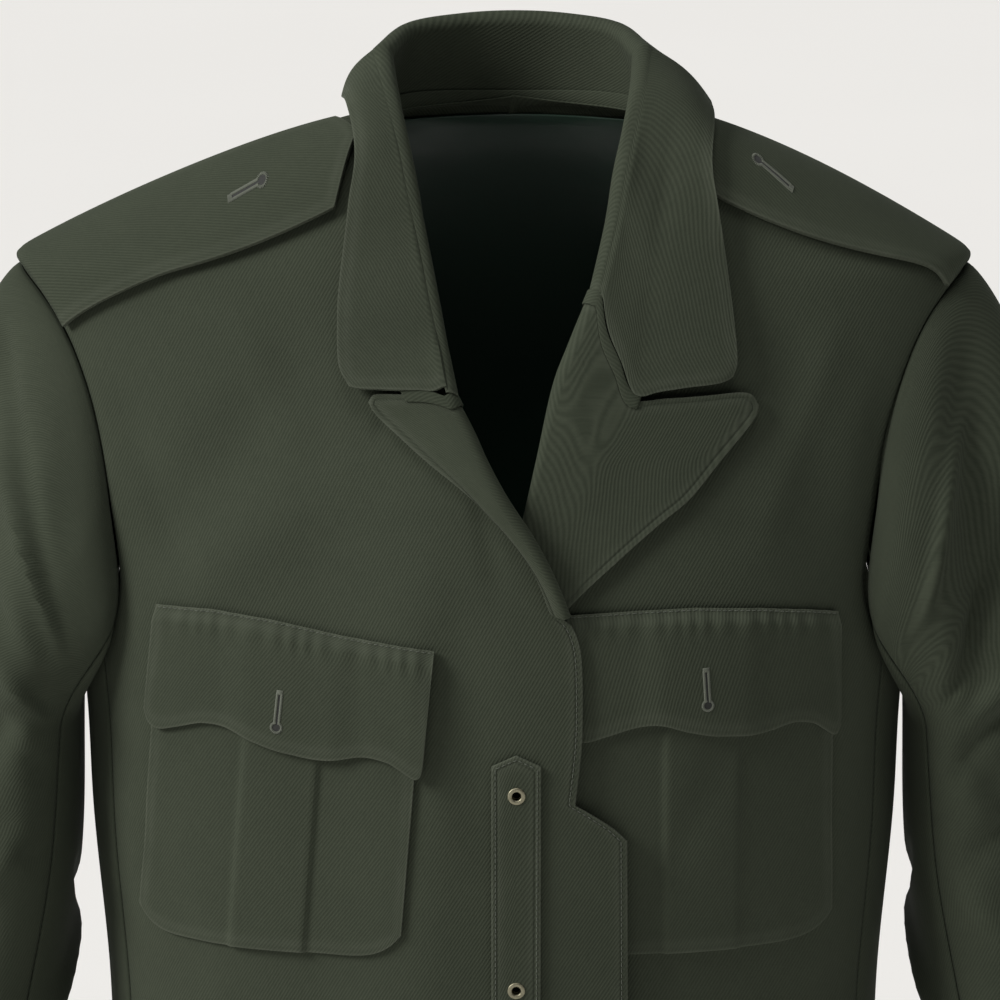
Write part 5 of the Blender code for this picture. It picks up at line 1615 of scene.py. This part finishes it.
def collar(look):
    """One piece that stands round the neck, folds over and falls as a leaf with two points."""
    neck = collar_neckline()
    crest = collar_line(COLLAR_CREST, CREST_BEHIND)
    edge = collar_line(COLLAR_EDGE, EDGE_BEHIND)
    into_fold = unit((neck + edge) / 2 - crest)
    stand = neck - crest
    aside = stand - (stand * into_fold).sum(axis=1, keepdims=True) * into_fold
    off_neck = -unit(aside)
    centre = crest + COLLAR_RADIUS * into_fold
    sections = []
    last = len(neck) - 1
    for station in range(last + 1):
        foot = centre[station] - COLLAR_RADIUS * off_neck[station]
        rows = [neck[station] + (foot - neck[station]) * part
                for part in np.linspace(0, 1, STAND_STEPS + 1)[:-1]]
        for turn in np.linspace(0, np.pi, CURL_STEPS + 1)[:-1]:
            swing = -off_neck[station] * np.cos(turn) - into_fold[station] * np.sin(turn)
            rows.append(centre[station] + COLLAR_RADIUS * swing)
        start = centre[station] + COLLAR_RADIUS * off_neck[station]
        part = np.linspace(0, 1, LEAF_STEPS + 1)[:, None]
        from_end = min(station, last - station) / COLLAR_FRONT_STATIONS
        blend = float(ease(LEAF_END_REACH, 0, from_end))
        leaf = start + (edge[station] - start) * part
        leaf = leaf + LEAF_BULGE * np.sin(np.pi * part) * off_neck[station] * (1 - blend)
        if blend > 0:
            side, end = (RIGHT, 0) if station < last / 2 else (LEFT, last)
            end_start = centre[end] + COLLAR_RADIUS * off_neck[end]
            straight = end_start + (edge[end] - end_start) * part
            path = finer(((end_start[0], end_start[2]), *COLLAR_END[side]), LEAF_STEPS)
            lifts = np.linspace(*COLLAR_END_LIFT, LEAF_STEPS + 1)
            bent = front_point(side, path[:, 0], path[:, 1], lifts)
            bent[0] = end_start
            leaf = leaf + (bent - straight) * blend
        sections.append(np.concatenate([np.array(rows), leaf]))
    face = np.array(sections)
    thick = np.full(face.shape[1], COLLAR_CLOTH)
    thick[:STAND_STEPS] = np.linspace(COLLAR_FOOT_CLOTH, COLLAR_CLOTH, STAND_STEPS + 1)[:-1]
    back = face - normals(face) * thick[None, :, None]
    behind_neck = ("first", COLLAR_FRONT_STATIONS, -COLLAR_FRONT_STATIONS)
    shell("collar", face, back, look, sewn=("first",), allowances=(behind_neck,),
          rims=("last", "top", "bottom"))


# Keyhole buttonholes, in their own plane: eye radius, slot half width, purl length and spacing
EYE_RADIUS = 0.0018
SLOT_HALF = 0.00045
PURL_LENGTH = 0.00125
PURL_STEP = 0.00046
PURL_RADIUS = 0.00030
TACK_STITCHES = 4
TACK_STEP = 1.1 * PURL_STEP
# How far the purl tucks under the edge, and the lift and thickness of the near-black sheet of painted
# shade inside
PURL_TUCK = 0.0001
SHADE_SHEET_LIFT = 0.00006
SHADE_SHEET_THICKNESS = 0.00005


def keyhole_outline(length):
    """The buttonhole's edge as points and outward directions: down one side, round the eye, back."""
    mouth = np.arcsin(SLOT_HALF / EYE_RADIUS)
    start = EYE_RADIUS * np.cos(mouth)
    straight = np.arange(length, start, -PURL_STEP)
    turns = np.arange(mouth, 2 * np.pi - mouth, PURL_STEP / EYE_RADIUS)
    upper = np.column_stack([straight, 0 * straight + SLOT_HALF])
    eye = EYE_RADIUS * np.column_stack([np.cos(turns), np.sin(turns)])
    lower = upper[::-1] * (1, -1)
    points = np.concatenate([upper, eye, lower])
    out = np.concatenate([0 * upper + (0, 1), eye / EYE_RADIUS, 0 * lower - (0, 1)])
    return points, out


def buttonhole(name, place, eye, tack):
    """A keyhole buttonhole. place turns a pattern place and a lift into a point on the cloth."""
    eye, tack = np.array(eye), np.array(tack)
    length = np.linalg.norm(tack - eye)
    along = (tack - eye) / length
    aside = np.array((-along[1], along[0]))

    def on_cloth(points, lift):
        flat = eye + points[:, :1] * along + points[:, 1:] * aside
        return place(flat[:, 0], flat[:, 1], np.full(len(flat), lift))

    outline, out = keyhole_outline(length)
    bar = np.arange(TACK_STITCHES) * TACK_STEP
    bar_low = np.column_stack([length + bar, 0 * bar - SLOT_HALF - PURL_LENGTH])
    inner = np.concatenate([outline - out * PURL_TUCK, bar_low])
    outer = np.concatenate([outline + out * PURL_LENGTH, bar_low * (1, -1)])
    starts, ends = on_cloth(inner, 0.0), on_cloth(outer, 0.0)
    middles = (inner + outer) / 2
    up = unit(on_cloth(middles, 0.001) - on_cloth(middles, 0.0))
    threads("buttonhole_" + name, starts, ends, up, PURL_RADIUS, HOLE_THREAD)
    # A near-black sheet over the slot and eye: painted shade where the buttonhole is not cut through
    points = on_cloth(outline, SHADE_SHEET_LIFT)
    inside = from_faces("buttonhole_painted_shade_" + name, points, [list(range(len(points)))],
                        SHADOW_CLOTH)
    applied(inside, "TRIANGULATE")
    applied(inside, "SOLIDIFY", thickness=SHADE_SHEET_THICKNESS, offset=0.0)
    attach(inside, "root")


def on_flap(side):
    def place(x, z, lift):
        return front_point(side, x, z, FLAP_LIFT + FLAP_PLEAT_LIFT + lift)
    return place


def on_epaulette(x, y, lift):
    return top_point(x, y, EPAULETTE_GAP + EPAULETTE_CLOTH + lift)


def buttonholes():
    buttonhole("flap_right", on_flap(RIGHT), (-0.1000, -0.2745), (-0.0983, -0.2585))
    buttonhole("flap_left", on_flap(LEFT), (0.0990, -0.2640), (0.0980, -0.2480))
    buttonhole("epaulette_right", on_epaulette, (-0.1080, -0.0360), (-0.1225, -0.0375))
    buttonhole("epaulette_left", on_epaulette, (0.1240, -0.0260), (0.1390, -0.0310))


FLAP_STITCH_INSET = 0.0012
STRIP_STITCH_INSET = 0.0020


def stitching():
    """The rows of stitches that show: front edges, lapels, flap tops and the eyelet strip."""
    for name in SIDE_NAMES.values():
        edge = ("first", NECK_ROWS + ROLL_ROWS, None)
        sew("stitches_front_" + name, (("front_" + name, edge, STITCH_INSET),))
        sew("stitches_lapel_" + name, (("lapel_" + name, "last", STITCH_INSET),))
        sew("stitches_flap_" + name, (("flap_" + name, "top", FLAP_STITCH_INSET),))
    sew("stitches_eyelet_strip", [("eyelet_strip", side, STRIP_STITCH_INSET)
                                  for side in ("first", "last", "top")])


# How each piece is held, and what it rests on
CUTS = {
    "front": ("hung", ("side_{}", "collar")),
    "side": ("hung", ("front_{}",)),
    "back": ("hung", ("front_{}", "collar")),
    "upper_sleeve": ("hung", ("front_{}",)),
    "under_sleeve": ("hung", ("upper_sleeve_{}",)),
    "lapel": ("folded", ("front_{}",)),
    "epaulette": ("laid", ("front_{}",)),
    "pocket": ("laid", ("front_{}",)),
    "flap": ("laid", ("pocket_{}",)),
}


def flat_size(face):
    """The cut's width, length and flat area, from a shell's own grid."""
    down, along = grid_lengths(face)
    above, beside = face[:-1, 1:], face[1:, :-1]
    area = 0
    for corner in (face[:-1, :-1], face[1:, 1:]):
        area += np.linalg.norm(np.cross(beside - corner, above - corner), axis=2).sum() / 2
    return float(along[:, -1].max()), float(down[-1].max()), float(area)


def declare(name):
    piece, face, _ = made_pieces[name]
    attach(piece, "root")
    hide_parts(name)
    width, length, area = flat_size(face)


def declare_cloth():
    for title, (held, rests) in CUTS.items():
        for name in SIDE_NAMES.values():
            declare(title + "_" + name)
    declare("collar")
    declare("eyelet_strip")
    declare("back_lining")


# Studio: the floor a wearer would stand on, a soft key from the upper left, and pale fill
FLOOR_Z = -1.45
FLOOR_HALF = 40.0
# Each soft lamp: name, strength, direction it shines from, angular size, colour
LAMPS = (
    ("key", 1.06, (-0.80, -0.30, 0.54), 0.42, (1.0, 0.985, 0.96)),
    ("overhead", 0.30, (-0.05, -0.15, 1.0), 0.60, (1.0, 0.99, 0.97)),
)
FILL_COLOUR = (0.93, 0.96, 1.0)
FILL_STRENGTH = 0.10


def studio():
    bpy.ops.object.select_all(action="DESELECT")
    bpy.ops.mesh.primitive_grid_add(x_subdivisions=4, y_subdivisions=4, size=2 * FLOOR_HALF,
                                    location=(0, 0, FLOOR_Z))
    floor = bpy.context.object
    floor.name = "floor"
    settled(floor)
    floor.data.materials.append(floor_paint())
    for name, strength, source, softness, colour in LAMPS:
        lamp = bpy.data.lights.new(name, "SUN")
        lamp.energy = strength * np.pi
        lamp.angle = softness
        lamp.color = colour
        light = bpy.data.objects.new(name, lamp)
        light.rotation_mode = "QUATERNION"
        light.rotation_quaternion = Vector(source).to_track_quat("Z", "Y")
        bpy.context.scene.collection.objects.link(light)
    world = bpy.data.worlds.new("pale fill")
    world.use_nodes = True
    sky = world.node_tree.nodes["Background"]
    sky.inputs["Color"].default_value = (*FILL_COLOUR, 1.0)
    sky.inputs["Strength"].default_value = FILL_STRENGTH
    bpy.context.scene.world = world
    bpy.context.scene.view_settings.view_transform = "Standard"


CAMERA_ELEVATION = np.radians(12.0)
CAMERA_DISTANCE = 2.4
CAMERA_WIDTH = 0.488
CAMERA_TARGET = Vector((0.0032, 0.0, -0.19))
SENSOR = 36.0


def camera():
    lens = bpy.data.cameras.new("camera")
    lens.sensor_width = SENSOR
    lens.lens = SENSOR * CAMERA_DISTANCE / CAMERA_WIDTH
    lens.clip_start = 0.05
    lens.clip_end = 200.0
    seen = bpy.data.objects.new("camera", lens)
    ahead = Vector((0.0, np.cos(CAMERA_ELEVATION), -np.sin(CAMERA_ELEVATION)))
    seen.location = CAMERA_TARGET - ahead * CAMERA_DISTANCE
    seen.rotation_mode = "QUATERNION"
    seen.rotation_quaternion = ahead.to_track_quat("-Z", "Y")
    bpy.context.scene.collection.objects.link(seen)
    bpy.context.scene.camera = seen


fronts(TWILL)
side_panels(TWILL)
backs(TWILL)
lining(SATIN)
sleeves(TWILL)
collar(TWILL)
lapels(TWILL)
epaulettes(TWILL)
pockets(TWILL)
flaps(TWILL)
eyelet_strip(TWILL)
stitching()
buttonholes()
eyelets(BRASS, [made_pieces[name][0] for name in ("front_right", "eyelet_strip")])
declare_cloth()
studio()
camera()

bpy.context.view_layer.update()
